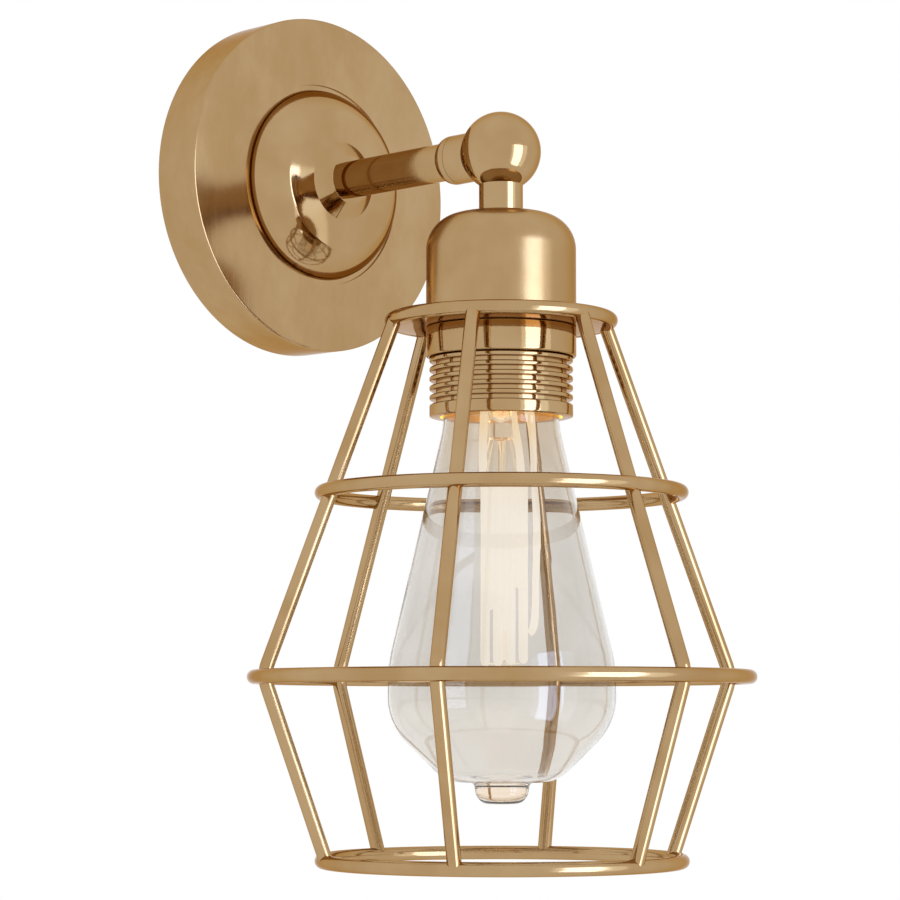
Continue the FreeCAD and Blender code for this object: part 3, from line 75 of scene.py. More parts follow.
bpy.ops.object.select_all(action="DESELECT")
bpy.ops.object.camera_add(location=CAMERA_PLACE)
camera = bpy.context.object
camera.name = "photo_camera"
camera.rotation_mode = "QUATERNION"
camera.rotation_quaternion = LINE_OF_SIGHT.to_track_quat("-Z", "Y")
camera.data.sensor_width = FILM_WIDTH
camera.data.lens = LENS
camera.data.clip_start = 0.01
bpy.context.scene.camera = camera
print("camera at", [round(v, 3) for v in camera.location], "lens", camera.data.lens)


# %% [markdown]
# ## Writing shader nodes as sums
# A finish is a small network of nodes. Wiring each Math node by hand hides the idea behind the
# plumbing, so one class wraps a socket and lets + and * stand for Math nodes. A second class holds
# one material and makes every other kind of node from its type, its settings and its inputs.
# %% Socket arithmetic
class Signal:
    """A number that varies over the surface. Sums on it add Math nodes."""

    def __init__(self, finish, socket):
        self.finish, self.socket = finish, socket

    def combine(self, operation, *values):
        """A Math node on these values."""
        return self.finish.make("ShaderNodeMath", {"operation": operation, "use_clamp": False}, *values)

    def __add__(self, other):
        return self.combine("ADD", self, other)

    def __mul__(self, other):
        return self.combine("MULTIPLY", self, other)

    def step(self, low, high):
        """0 below low, 1 above high and a smooth rise between them."""
        settings = {"interpolation_type": "SMOOTHSTEP"}
        return self.finish.make("ShaderNodeMapRange", settings, self, low, high, 0.0, 1.0)

    __radd__ = __add__
    __rmul__ = __mul__


class Finish:
    """One material: its Principled shader and the nodes that feed it."""

    def __init__(self, name, **constants):
        self.material = bpy.data.materials.new(name)
        self.material.use_nodes = True
        self.nodes = self.material.node_tree.nodes
        self.links = self.material.node_tree.links
        self.shader = self.nodes["Principled BSDF"]
        for socket, constant in constants.items():
            self.shader.inputs[socket.replace("_", " ")].default_value = constant
        self.where = self.make("ShaderNodeTexCoord", {}, output="Object")

    def make(self, kind, settings, *values, output=0, **named):
        """A node of this kind. Values fill its shown inputs in order, named ones by their name."""
        made = self.nodes.new(kind)
        for setting, chosen in settings.items():
            setattr(made, setting, chosen)
        shown = [socket for socket in made.inputs if socket.enabled]
        for socket, given in zip(shown, values):
            self.feed(socket, given)
        for name, given in named.items():
            self.feed(next(s for s in shown if s.name == name.replace("_", " ")), given)
        results = [socket for socket in made.outputs if socket.enabled]
        if isinstance(output, str):
            return Signal(self, next(s for s in results if s.name == output))
        return Signal(self, results[output])

    def feed(self, socket, given):
        """Link a signal to a socket, or set the socket's own value."""
        if isinstance(given, Signal):
            self.links.new(given.socket, socket)
        else:
            socket.default_value = given

    def noise(self, scale, detail=2.0, stretch=(1, 1, 1), roughness=0.5):
        """Soft noise, 0 to 1, with features about 1/scale metres wide, longer where stretch is small."""
        place = self.where
        if stretch != (1, 1, 1):
            place = self.make("ShaderNodeMapping", {}, self.where, Scale=stretch)
        return self.make("ShaderNodeTexNoise", {}, place,
                         Scale=scale, Detail=detail, Roughness=roughness)

    def blend(self, share, first, second):
        """One colour shading into another as share goes from 0 to 1."""
        settings = {"data_type": "RGBA", "clamp_factor": True}
        return self.make("ShaderNodeMix", settings, share, first, second)

    def bump(self, height, strength, distance):
        """A surface normal that leans as if the height were carved, distance metres deep."""
        return self.make("ShaderNodeBump", {}, Strength=strength, Distance=distance, Height=height)

    def drive(self, **links):
        """Feed sockets of the Principled shader that vary over the surface."""
        for name, given in links.items():
            self.feed(self.shader.inputs[name.replace("_", " ")], given)
        return self.material


def linear(red, green, blue):
    """The linear colour of three 0-255 screen values, as the shader wants it."""
    shares = [v / 255 for v in (red, green, blue)]
    return (*[s / 12.92 if s <= 0.04045 else ((s + 0.055) / 1.055) ** 2.4 for s in shares], 1)


print("shader helpers ready")

# %% [markdown]
# ## Copper finishes
# The metal is brass or steel with a light copper plating. Polished plating is a mirror, but never a
# perfect one: the colour drifts a little, wiping leaves soft patches, and a fine grain breaks the
# edge of each highlight. Every finish here starts from one copper colour and differs in how rough it
# is and which way its marks run. Seen at a grazing angle a plain metal turns white, so the shader's
# edge tint keeps the rims copper.
# %% Polished copper for the turned parts
COPPER_DEEP = linear(173, 140, 97)
COPPER_PALE = linear(184, 155, 115)
COPPER_EDGE = (0.68, 0.5, 0.35, 1)
PLATED = dict(Metallic=1.0, Specular_Tint=COPPER_EDGE)
GRAIN_DEPTH = 0.02 * MM


def polished(name, base_roughness, patch_roughness, grain):
    """Plating over a polished ground, with wiped patches and a fine grain."""
    finish = Finish(name, **PLATED)
    patches = finish.noise(38, detail=3, roughness=0.6)
    fine = finish.noise(2600, detail=1)
    colour = finish.blend(patches.step(0.3, 0.7), COPPER_DEEP, COPPER_PALE)
    wiped = finish.noise(110, detail=4, stretch=(1, 1, 0.3)).step(0.45, 0.75)
    roughness = base_roughness + patches.step(0.4, 0.8) * patch_roughness + wiped * patch_roughness
    return finish.drive(Base_Color=colour, Roughness=roughness,
                        Normal=finish.bump(fine, grain, GRAIN_DEPTH))


polished_copper = polished("polished_copper_plating", 0.07, 0.04, 0.25)
wire_copper = polished("polished_copper_wire", 0.10, 0.05, 0.35)
drawn_copper = polished("drawn_copper_plating", 0.22, 0.05, 0.8)
print("made", polished_copper.name, wire_copper.name, "and", drawn_copper.name)


# %% [markdown]
# ## Satin copper for the wall plate
# The plate is finished with an abrasive instead of a mop, so it mirrors only a blurred room. Its
# marks run up and down, and show where light grazes them. The noise is stretched along Z for that,
# and drives both the roughness and a very shallow bump.
# %% Satin copper
STROKE_DEPTH = 0.03 * MM


def satin():
    """Plating over a brushed ground."""
    finish = Finish("satin_copper_plating", **PLATED)
    clouds = finish.noise(34, detail=5, stretch=(1, 1, 0.55), roughness=0.7)
    strokes = finish.noise(900, detail=2, stretch=(1, 1, 0.06))
    smudge = finish.noise(70, detail=3, stretch=(1, 1, 0.35)).step(0.5, 0.72)
    colour = finish.blend(clouds.step(0.3, 0.7), COPPER_DEEP, COPPER_PALE)
    roughness = 0.06 + clouds * 0.16 + strokes * 0.05 + smudge * 0.05
    return finish.drive(Base_Color=colour, Roughness=roughness,
                        Normal=finish.bump(strokes, 0.3, STROKE_DEPTH))


satin_copper = satin()
print("made", satin_copper.name)


# %% [markdown]
# ## Finishes of the inner parts
# Behind the plate and inside the cup sit plain parts: zinc-plated steel, brass, nylon, ceramic. They
# show when the light is seen from the wall side or when the lamp is screwed out, so they get real
# finishes as well. One function covers the metals and one the rest, because the pieces of each kind
# differ only in colour and wear.
# %% Inner finishes
CLOUD_DEPTH = 0.05 * MM
PIT_DEPTH = 0.1 * MM


def plain_metal(name, light, dark, roughness):
    """Plated, turned or poured metal: spangles and soft clouds."""
    finish = Finish(name, Metallic=1.0)
    spangle = finish.make("ShaderNodeTexVoronoi", {}, finish.where, Scale=500.0)
    clouds = finish.noise(160, detail=3)
    colour = finish.blend((spangle * 0.5 + clouds * 0.6).step(0.2, 0.8), light, dark)
    return finish.drive(Base_Color=colour, Roughness=roughness + clouds * 0.18,
                        Normal=finish.bump(clouds, 0.1, CLOUD_DEPTH))


def plain_solid(name, light, dark, roughness, grain_scale, grain):
    """Moulded or fired material: soft clouds in the colour and fine pits in the surface."""
    finish = Finish(name)
    clouds = finish.noise(90, detail=3)
    fine = finish.noise(grain_scale, detail=2)
    colour = finish.blend(clouds.step(0.35, 0.75), light, dark)
    return finish.drive(Base_Color=colour, Roughness=roughness + fine * 0.15,
                        Normal=finish.bump(fine, grain, PIT_DEPTH))


INNER_FINISHES = {
    "zinc_steel": plain_metal("zinc_plated_steel", linear(196, 198, 200), linear(165, 168, 172), 0.28),
    "bare_brass": plain_metal("bare_brass", linear(214, 184, 112), linear(184, 150, 82), 0.22),
    "solder": plain_metal("dull_solder", linear(190, 190, 192), linear(150, 150, 154), 0.38),
    "lamp_wire": plain_metal("nickel_wire", linear(200, 190, 176), linear(170, 158, 140), 0.3),
    "white_nylon": plain_solid("moulded_nylon", linear(232, 230, 222), linear(220, 216, 205),
                               0.42, 700, 0.15),
    "white_ceramic": plain_solid("fired_ceramic", linear(236, 232, 222), linear(222, 214, 200),
                                 0.5, 1500, 0.4),
    "black_glass": plain_solid("black_insulator", linear(38, 32, 36), linear(60, 50, 56),
                               0.12, 300, 0.05),
    "polished_copper": polished_copper,
    "cage_copper": polished_copper,
    "satin_copper": satin_copper,
}
print("inner finishes:", ", ".join(INNER_FINISHES))


# %% [markdown]
# ## Glass
# The bulb is blown from clear soda glass about a millimetre thick. It is modelled as a real shell,
# with an outer and an inner face, so light bends twice and each wall gives its own reflection. The
# wall is slightly wavy, as blown glass is, and a faint grey tint comes with its thickness. The neck
# and the drawn-off tip are warmer: painted warm light, where the filament's light runs along the glass,
# so the colour is blended by height.
# %% Clear glass
TIP_HEIGHTS = (-0.1805, -0.177)
CHIN_HEIGHTS = (-0.162, -0.148)
NECK_HEIGHTS = (-0.112, -0.078)


def clear_glass():
    """Clear glass with slow waves, a little dust, and painted warm light in the neck and tip."""
    finish = Finish("clear_blown_glass", Transmission_Weight=1.0, IOR=1.45)
    waves = finish.noise(45, detail=1)
    dust = finish.noise(300, detail=4).step(0.62, 0.85)
    height = finish.make("ShaderNodeSeparateXYZ", {}, finish.where, output="Z")
    # The tip and the neck take a warmer colour: painted warm light from the filament.
    tip = finish.blend(height.step(*TIP_HEIGHTS), linear(244, 226, 204), linear(238, 235, 230))
    body = finish.blend(waves.step(0.3, 0.7), linear(226, 223, 218), linear(234, 231, 227))
    below = finish.blend(height.step(*CHIN_HEIGHTS), tip, body)
    colour = finish.blend(height.step(*NECK_HEIGHTS), below, linear(226, 216, 202))
    return finish.drive(Base_Color=colour, Roughness=0.004 + dust * 0.02,
                        Normal=finish.bump(waves, 0.12, MM))


bulb_glass = clear_glass()
INNER_FINISHES["clear_glass"] = bulb_glass
print("made", bulb_glass.name)


# %% [markdown]
# ## Glowing filament
# The filament glows warm white. Its colour is an emission close to plain white, so it reads as lit
# without bleaching out, and its upper end fades to amber. Parts that stand close to it get a painted
# glow in place of its light: the glass stem, the wires that carry the filament, and the bore of the
# sleeve above. Each gives off a weak light of its own, which is steadier than waiting for light to find its
# way there.
# %% Filament glow
GLOW_FADE_HEIGHTS = (-0.088, -0.076)


def glow():
    """The lit filament: bright all over, and without a reflection that would grey it."""
    finish = Finish("glowing_filament", Specular_IOR_Level=0.0, Emission_Strength=1.12)
    height = finish.make("ShaderNodeSeparateXYZ", {}, finish.where, output="Z")
    ends = height.step(*GLOW_FADE_HEIGHTS)
    coils = finish.noise(1500, detail=1)
    hot = finish.blend(coils, linear(248, 241, 229), linear(251, 246, 236))
    return finish.drive(Base_Color=linear(60, 48, 36), Roughness=0.5 + coils * 0.2,
                        Emission_Color=finish.blend(ends, hot, linear(252, 232, 196)))


def painted_lamp_glow(name, colour, strength, light=(244, 232, 212), **constants):
    """A part so close to the filament that it gets a painted glow in place of its light."""
    finish = Finish(name, Emission_Strength=strength, **constants)
    # Painted glow: the emission and the base colour vary a little over the part, standing in for the
    # filament's light.
    glow_patches = finish.noise(250, detail=2)
    dim_glow = linear(*(value * 0.96 for value in light))
    return finish.drive(Base_Color=finish.blend(glow_patches, colour, linear(240, 232, 218)),
                        Roughness=0.08 + glow_patches * 0.1,
                        Emission_Color=finish.blend(glow_patches, linear(*light), dim_glow))


filament_glow = glow()
# Stem, supports and bore get a painted glow, a warm emission on parts that are no lamp.
stem_glass = painted_lamp_glow("stem_glass_painted_glow", linear(236, 232, 226), 0.1, Transmission_Weight=1.0, IOR=1.3)
support_wire = painted_lamp_glow("support_wire_painted_glow", linear(200, 186, 160), 0.45, Metallic=1.0)
bore_painted_glow = painted_lamp_glow("sleeve_bore_painted_glow", linear(214, 170, 96), 0.75, (236, 186, 96), Metallic=1.0)
INNER_FINISHES["glowing_filament"] = filament_glow
print("made", ", ".join(made.name for made in (filament_glow, stem_glass, support_wire, bore_painted_glow)))


# %% [markdown]
# ## How turned pieces are made
# Most of this light is turned or spun: every slice through its axis is the same. In Blender that is
# one half-profile, drawn as a chain of extruded points, and one Spin all the way round. Corners are
# rounded in the profile, where a radius is one number, and not on the finished solid.
# %% Profiles with rounded corners
def rounded(steps, segments=10):
    """The points of a profile. A step is (u, v), or (u, v, radius) for a rounded corner."""
    points = []
    for index, step in enumerate(steps):
        corner = Vector(step[:2])
        if len(step) == 2:
            points.append(corner)
            continue
        into = (Vector(steps[index - 1][:2]) - corner).normalized()
        out = (Vector(steps[(index + 1) % len(steps)][:2]) - corner).normalized()
        half = into.angle(out) / 2
        centre = corner + (into + out).normalized() * (step[2] / math.sin(half))
        start = corner + into * (step[2] / math.tan(half)) - centre
        end = corner + out * (step[2] / math.tan(half)) - centre
        turn = math.atan2(start.x * end.y - start.y * end.x, start.dot(end))
        for share in range(segments + 1):
            points.append(centre + Matrix.Rotation(turn * share / segments, 2) @ start)
    return points


def arc(centre, radius, first, last, segments=12):
    """Points on an arc, angles in degrees from the profile's u axis."""
    angles = [math.radians(first + (last - first) * i / segments) for i in range(segments + 1)]
    return [Vector((centre[0] + radius * math.cos(a), centre[1] + radius * math.sin(a))) for a in angles]


print("profile helpers ready")


# %% Extruding a chain of points and spinning it
MERGE_GAP = 0.002 * MM


def start_chain(name, first):
    """A new object whose only vertex stands at the first point."""
    bpy.ops.object.select_all(action="DESELECT")
    bpy.ops.mesh.primitive_plane_add(size=MM)
    piece = bpy.context.object
    piece.name = piece.data.name = name
    bpy.ops.object.mode_set(mode="EDIT")
    bpy.ops.mesh.select_all(action="SELECT")
    bpy.ops.mesh.merge(type="CENTER")
    bpy.ops.transform.translate(value=first)
    return piece


def extrude_by(step):
    """Extrude what is selected by one straight step."""
    bpy.ops.mesh.extrude_region_move(TRANSFORM_OT_translate={"value": step})


def extrude_chain(name, points):
    """A chain of edges through the points, left in edit mode."""
    piece = start_chain(name, points[0])
    for before, after in zip(points, points[1:]):
        extrude_by(after - before)
    return piece


def close_and_smooth(piece, angle=32):
    """Merge doubled points, turn the faces outwards and smooth what isn't a sharp edge."""
    bpy.ops.mesh.select_all(action="SELECT")
    bpy.ops.mesh.remove_doubles(threshold=MERGE_GAP)
    bpy.ops.mesh.normals_make_consistent(inside=False)
    bpy.ops.object.mode_set(mode="OBJECT")
    bpy.ops.object.shade_smooth_by_angle(angle=math.radians(angle))
    return piece


def turned(name, profile, along=UP, steps=128):
    """A solid of revolution. Profile points are (radius, distance along the axis) in mm, and the
    profile is a closed line that runs round the wall's section."""
    base = LAMP_AXIS if along == UP else Vector()
    outwards, onwards = Vector((1, 0, 0)), along
    points = [base + (outwards * p[0] + onwards * p[1]) * MM for p in profile]
    piece = extrude_chain(name, points + points[:1])
    bpy.ops.mesh.select_all(action="SELECT")
    bpy.ops.mesh.spin(steps=steps, angle=2 * math.pi, center=base, axis=along)
    return close_and_smooth(piece)


def finish_piece(piece, material, body, node):
    """Give a piece its finish, let it ride on its body, and let it stand for its CAD node."""
    piece.data.materials.clear()
    piece.data.materials.append(material)
    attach(piece, body)
    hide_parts(node)
    print(piece.name, len(piece.data.polygons), "faces on", body)
    return piece


print("turning helpers ready, doubles closer than", MERGE_GAP / MM, "mm are merged")

# %% [markdown]
# ## The wall plate
# A shallow cup spun from sheet, open towards the wall. Its front edge is rolled over a small radius
# that catches a thin line of light all round. In front it has a shallow round recess, whose rim makes
# a groove round the boss.
# %% Wall plate
ARM_HOLE = 5.2
PLATE_RADIUS = 50.5
PLATE_FRONT = -16.0
PLATE_WALL = 1.5
PLATE_ROUND = 0.8
GROOVE_RADIUS = 30.4
GROOVE_FLOOR = -15.5

plate = turned("plate_shell", rounded([
    (ARM_HOLE, GROOVE_FLOOR), (GROOVE_RADIUS, GROOVE_FLOOR), (GROOVE_RADIUS, PLATE_FRONT),
    (PLATE_RADIUS, PLATE_FRONT, PLATE_ROUND), (PLATE_RADIUS, 0.0), (PLATE_RADIUS - PLATE_WALL, 0.0),
    (PLATE_RADIUS - PLATE_WALL, PLATE_FRONT + PLATE_WALL), (ARM_HOLE, PLATE_FRONT + PLATE_WALL)]),
    ALONG_ARM, 160)
finish_piece(plate, satin_copper, "wall_side", "canopy")

# %% [markdown]
# ## The stepped boss and its hub
# The boss stands in a narrow groove round its foot, turns over in a broad curve and ends in a flat. A
# low cone sits on the flat and carries the arm. Light bounces several times in the groove, so it draws
# a dark ring round the bright boss.
# %% Boss and hub
BOSS_FRONT = -25.3
BOSS_INSIDE = -23.6
BOSS_FOOT = 28.9
BOSS_FOOT_INSIDE = 26.7
DOME_CENTRE = (13.22, -10.47)
DOME_BEND = 16.7
INSIDE_CENTRE = (20.1, -17.0)
INSIDE_BEND = 6.6
HUB_FRONT = -28.6
HUB_NOSE = 7.2
HUB_FOOT = 11.8

dome_outside = arc(DOME_CENTRE, DOME_BEND, -62.6, -24.1, 20)
dome_inside = arc(INSIDE_CENTRE, INSIDE_BEND, 0, -90, 12)
boss = turned("boss_shell", [
    (ARM_HOLE, BOSS_FRONT), *dome_outside, (BOSS_FOOT, GROOVE_FLOOR), (BOSS_FOOT_INSIDE, GROOVE_FLOOR),
    *dome_inside, (ARM_HOLE, BOSS_INSIDE)], ALONG_ARM, 128)
finish_piece(boss, polished_copper, "wall_side", "boss_dome")
hub = turned("hub_cone", rounded([
    (ARM_HOLE, HUB_FRONT), (HUB_NOSE, HUB_FRONT, 0.25), (HUB_FOOT, BOSS_FRONT), (ARM_HOLE, BOSS_FRONT)], 4),
    ALONG_ARM, 96)
finish_piece(hub, polished_copper, "wall_side", "boss_hub")

# %% [markdown]
# ## The cup over the lampholder
# A drawn cup with a deep round shoulder. It is hollow, because its open end shows the sleeve and the
# cage that hang inside it.
# %% Cup
CUP_HOLE = 5.0
CUP_RADIUS = 21.25
CUP_TOP = -18.0
CUP_BOTTOM = -49.2
CUP_WALL = 1.2
CUP_ROUND = 10.3

cup = turned("holder_cup", rounded([
    (CUP_HOLE, CUP_TOP), (CUP_RADIUS, CUP_TOP, CUP_ROUND), (CUP_RADIUS, CUP_BOTTOM),
    (CUP_RADIUS - CUP_WALL, CUP_BOTTOM), (CUP_RADIUS - CUP_WALL, CUP_TOP - CUP_WALL, CUP_ROUND - CUP_WALL),
    (CUP_HOLE, CUP_TOP - CUP_WALL)], 18))
finish_piece(cup, drawn_copper, "lamp_head", "socket_cup")


# %% [markdown]
# ## The ribbed sleeve
# The lower end of the lampholder carries ribs that look like a coarse thread. Seen from the side the
# profile is a comb: a gap, a rib with rounded corners, and so on. The loop adds one gap at a time to
# the profile, from the bottom up, and the whole comb is spun at once. The faces of the bore get a
# painted glow of their own, which stands in for the lamp's light.
# %% Sleeve
def comb(low, count, pitch, gap, root, crest, soft):
    """Profile points up a row of gaps cut into a round bar, with softened ribs between them."""
    points = []
    for number in range(count):
        start = low + number * pitch
        points += arc((crest - soft, start - soft), soft, 0, 90, 4)
        points += [Vector((root, start)), Vector((root, start + gap))]
        points += arc((crest - soft, start + gap + soft), soft, -90, 0, 4)
    return points


RIB_RADIUS = 20.3
ROOT_RADIUS = 18.5
SLEEVE_RADIUS = 20.0
SLEEVE_BORE = 17.3
SLEEVE_BOTTOM = -75.9
CAGE_SEAT = -50.5
CAP_RADIUS = 18.4
CAP_TOP = -31.5
CAP_BOTTOM = -36.0
LIP_RADIUS = 15.0
LIP_TOP = -62.0
LIP_BOTTOM = -63.5
EDGE_ROUND = 0.4
EDGE_CUT = 0.1

ribs = comb(low=-72.4, count=8, pitch=2.66, gap=1.25, root=ROOT_RADIUS, crest=RIB_RADIUS, soft=0.5)
sleeve = turned("ribbed_sleeve", [
    (SLEEVE_BORE, SLEEVE_BOTTOM), (RIB_RADIUS - EDGE_ROUND, SLEEVE_BOTTOM),
    (RIB_RADIUS - EDGE_CUT, SLEEVE_BOTTOM + EDGE_CUT), (RIB_RADIUS, SLEEVE_BOTTOM + EDGE_ROUND), *ribs,
    (RIB_RADIUS, CAGE_SEAT), (SLEEVE_RADIUS, CAGE_SEAT), (SLEEVE_RADIUS, CAP_BOTTOM),
    (CAP_RADIUS, CAP_BOTTOM), (CAP_RADIUS, CAP_TOP), (SLEEVE_BORE, CAP_TOP), (SLEEVE_BORE, LIP_TOP),
    (LIP_RADIUS, LIP_TOP), (LIP_RADIUS, LIP_BOTTOM), (SLEEVE_BORE, LIP_BOTTOM)], UP, 128)
finish_piece(sleeve, polished_copper, "lamp_head", "holder_sleeve")

# %% Bore of the sleeve
# Only faces nearer to the axis than BORE_REACH, and below the inner lip, face the lamp.
BORE_REACH = 17.6 * MM
# The bore's faces get a painted glow in place of the lamp's light.
sleeve.data.materials.append(bore_painted_glow)
bore_faces = [face for face in sleeve.data.polygons
              if (face.center - LAMP_AXIS).xy.length < BORE_REACH and face.center.z < LIP_BOTTOM * MM]
for face in bore_faces:
    face.material_index = 1
print(len(bore_faces), "faces of the bore take the lamp's light")

# %% [markdown]
# ## The clamp ring and the cage plate
# A flat plate carries the cage and is held up against the cup by a threaded ring. Both are turned, and
# their edges are broken by a fine round that draws a bright line.
# %% Clamp ring and cage plate
CLAMP_BORE = 20.35
CLAMP_BOTTOM = -59.0
CAGE_PLATE_RADIUS = 31.0

clamp = turned("clamp_ring_shell", rounded([
    (CLAMP_BORE, CAGE_SEAT, 0.2), (CUP_RADIUS, CAGE_SEAT, 0.3), (CUP_RADIUS, CLAMP_BOTTOM, 0.6),
    (CLAMP_BORE, CLAMP_BOTTOM, 0.2)], 5))
finish_piece(clamp, polished_copper, "lamp_head", "clamp_ring")
cage_disc = turned("cage_plate_disc", rounded([
    (CLAMP_BORE, CAGE_SEAT, 0.2), (CAGE_PLATE_RADIUS, CAGE_SEAT, 0.4),
    (CAGE_PLATE_RADIUS, CUP_BOTTOM, 0.4), (CLAMP_BORE, CUP_BOTTOM, 0.2)], 5))
finish_piece(cage_disc, polished_copper, "lamp_head", "cage_plate")


# %% [markdown]
# ## The cage rings
# Each ring is a length of round bar bent into a circle. Its section is a small circle, placed on the
# ring's radius and spun about the lamp's axis. Four rings share one function, because only radius and
# height differ.
# %% Rings
WIRE = 2.0 * MM
TOP_RING = (31.0, -48.6)
UPPER_RING = (50.6, -97.4)
WIDE_RING = (69.3, -149.0)
BOTTOM_RING = (50.2, -200.0)


def ring(name, radius, height, node):
    """One ring of the cage, with its radius and height in mm."""
    bpy.ops.object.select_all(action="DESELECT")
    bpy.ops.mesh.primitive_circle_add(vertices=28, radius=WIRE, rotation=(math.pi / 2, 0, 0),
                                      location=LAMP_AXIS + Vector((radius, 0, height)) * MM)
    piece = bpy.context.object
    piece.name = piece.data.name = name
    bpy.ops.object.transform_apply(location=True, rotation=True, scale=True)
    bpy.ops.object.mode_set(mode="EDIT")
    bpy.ops.mesh.select_all(action="SELECT")
    bpy.ops.mesh.spin(steps=180, angle=2 * math.pi, center=LAMP_AXIS, axis=UP)
    close_and_smooth(piece)
    return finish_piece(piece, wire_copper, "lamp_head", node)


ring("ring_top", *TOP_RING, "cage_ring_top")
ring("ring_upper", *UPPER_RING, "cage_ring_upper")
ring("ring_wide", *WIDE_RING, "cage_ring_wide")
ring("ring_bottom", *BOTTOM_RING, "cage_ring_bottom")


# %% [markdown]
# ## The side wires
# Six bars run from the top ring out to the widest ring and back in to the bottom ring, with a soft
# knee between two straight legs. A circle is extruded down the first leg, spun through the knee's
# small angle about the centre of its bend, and extruded down the second leg.
# %% Side wires
WIRE_COUNT = 6
FIRST_WIRE = 30
WIRE_TOP = (31.0, 0, -49.1)
WIRE_KNEE = (67.9, 0, -148.7)
WIRE_BOTTOM = (50.2, 0, -199.5)
KNEE_BEND = 10.0 * MM


def side_wire(name):
    """One bent bar, standing to the right of the lamp's axis."""
    path = [LAMP_AXIS + Vector(place) * MM for place in (WIRE_TOP, WIRE_KNEE, WIRE_BOTTOM)]
    first, second = (path[1] - path[0]).normalized(), (path[2] - path[1]).normalized()
    bend = first.angle(second)
    reach = KNEE_BEND * math.tan(bend / 2)
    centre = path[1] + (second - first).normalized() * (KNEE_BEND / math.cos(bend / 2))
    bpy.ops.object.select_all(action="DESELECT")
    bpy.ops.mesh.primitive_circle_add(vertices=24, radius=WIRE, fill_type="NGON", location=path[0],
                                      rotation=first.to_track_quat("Z", "Y").to_euler())
    piece = bpy.context.object
    piece.name = piece.data.name = name
    bpy.ops.object.transform_apply(location=True, rotation=True, scale=True)
    bpy.ops.object.mode_set(mode="EDIT")
    bpy.ops.mesh.select_all(action="SELECT")
    extrude_by(path[1] - first * reach - path[0])
    bpy.ops.mesh.spin(steps=8, angle=bend, center=centre, axis=second.cross(first))
    extrude_by(path[2] - path[1] - second * reach)
    return close_and_smooth(piece, 60)


def turned_copy(piece, name, degrees):
    """A copy with its own mesh, turned about the lamp's axis."""
    bpy.ops.object.select_all(action="DESELECT")
    piece.select_set(True)
    bpy.context.view_layer.objects.active = piece
    bpy.ops.object.duplicate()
    copy = bpy.context.object
    copy.name = copy.data.name = name
    bpy.ops.object.mode_set(mode="EDIT")
    bpy.ops.mesh.select_all(action="SELECT")
    bpy.ops.transform.rotate(value=-math.radians(degrees), orient_axis="Z", center_override=LAMP_AXIS)
    bpy.ops.object.mode_set(mode="OBJECT")
    return copy


# %% Six copies round the axis
first_wire = side_wire("wire_pattern")
for number in range(WIRE_COUNT):
    wire = turned_copy(first_wire, "side_wire_%d" % (number + 1), FIRST_WIRE + 360 / WIRE_COUNT * number)
    node = "cage_wire_%d" % (number + 1)
    finish_piece(wire, wire_copper, "lamp_head", node)
    low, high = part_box(node)
    corners = [Vector(corner) for corner in wire.bound_box]
    past = [max(corner[axis] for corner in corners) - high[axis] for axis in range(3)]
    print("  its box ends %.2f %.2f %.2f mm past its node's" % tuple(gap / MM for gap in past))
bpy.data.objects.remove(first_wire)

# %% [markdown]
# ## The glass bulb
# A pear shape with a narrow neck, a long slope, a round chin and a flat base with the drawn-off tip in
# the middle. The same profile line is drawn down the outside and back up the inside, one wall thick.
# %% Bulb
WALL = 0.9
MITRE = 0.37
FOOT, NECK, BELLY = 12.6, 16.4, 32.0
BASE, TIP_ROOT, TIP_END = 15.5, 7.8, 7.1
RIM_TOP, FOOT_BOTTOM = -66.0, -69.3
NECK_TOP, NECK_BOTTOM = -73.2, -78.8
BELLY_TOP, CHIN = -146.1, -161.9
BASE_BOTTOM, TIP_BOTTOM = -178.4, -184.4

outer = rounded([
    (FOOT, RIM_TOP), (FOOT, FOOT_BOTTOM), (NECK, NECK_TOP, 3), (NECK, NECK_BOTTOM, 30),
    (BELLY, BELLY_TOP, 50), (BELLY, CHIN, 18), (BASE, BASE_BOTTOM, 12),
    (TIP_ROOT, BASE_BOTTOM, 1.3), (TIP_END, TIP_BOTTOM, 4.2), (0, TIP_BOTTOM)], 16)
# Where the outer line turns by 45 degrees, the inner corner lies one MITRE further along the wall.
inner = rounded([
    (0, BASE_BOTTOM + WALL), (BASE - MITRE, BASE_BOTTOM + WALL, 12 - WALL),
    (BELLY - WALL, CHIN + MITRE, 18 - WALL), (BELLY - WALL, BELLY_TOP, 50),
    (NECK - WALL, NECK_BOTTOM, 30), (NECK - WALL, NECK_TOP - MITRE, 3 - WALL),
    (FOOT - WALL, FOOT_BOTTOM - MITRE), (FOOT - WALL, RIM_TOP)], 16)
bulb = turned("glass_bulb", [*outer, *inner], UP, 160)
finish_piece(bulb, bulb_glass, "lamp", "lamp_envelope")
# Clear glass lets light through, so it keeps no light from the filament and the sleeve.
bulb.visible_shadow = False

# %% [markdown]
# ## The filament
# Eight long hairpins hang in a ring inside the bulb. Alight, a hairpin is one glowing finger with a
# rounded tip, and higher up neighbours run into each other. Each finger is a rounded profile spun about
# its own axis, and thinner ones between them, which end higher up, close the gaps. Two directions help
# to place them: one to the right in the picture, and one out into the room.
# %% Filament fingers
TOWARDS_RIGHT = Vector((0.712, -0.702, 0))
TOWARDS_ROOM = Vector((-0.702, -0.712, 0))
RING_CENTRE = LAMP_AXIS + TOWARDS_RIGHT * 0.7 * MM
RING_RADIUS = 5.75
GLOW_TOP = -94.0
FINGER_RADIUS = 1.28
THIN_RADIUS = 0.8


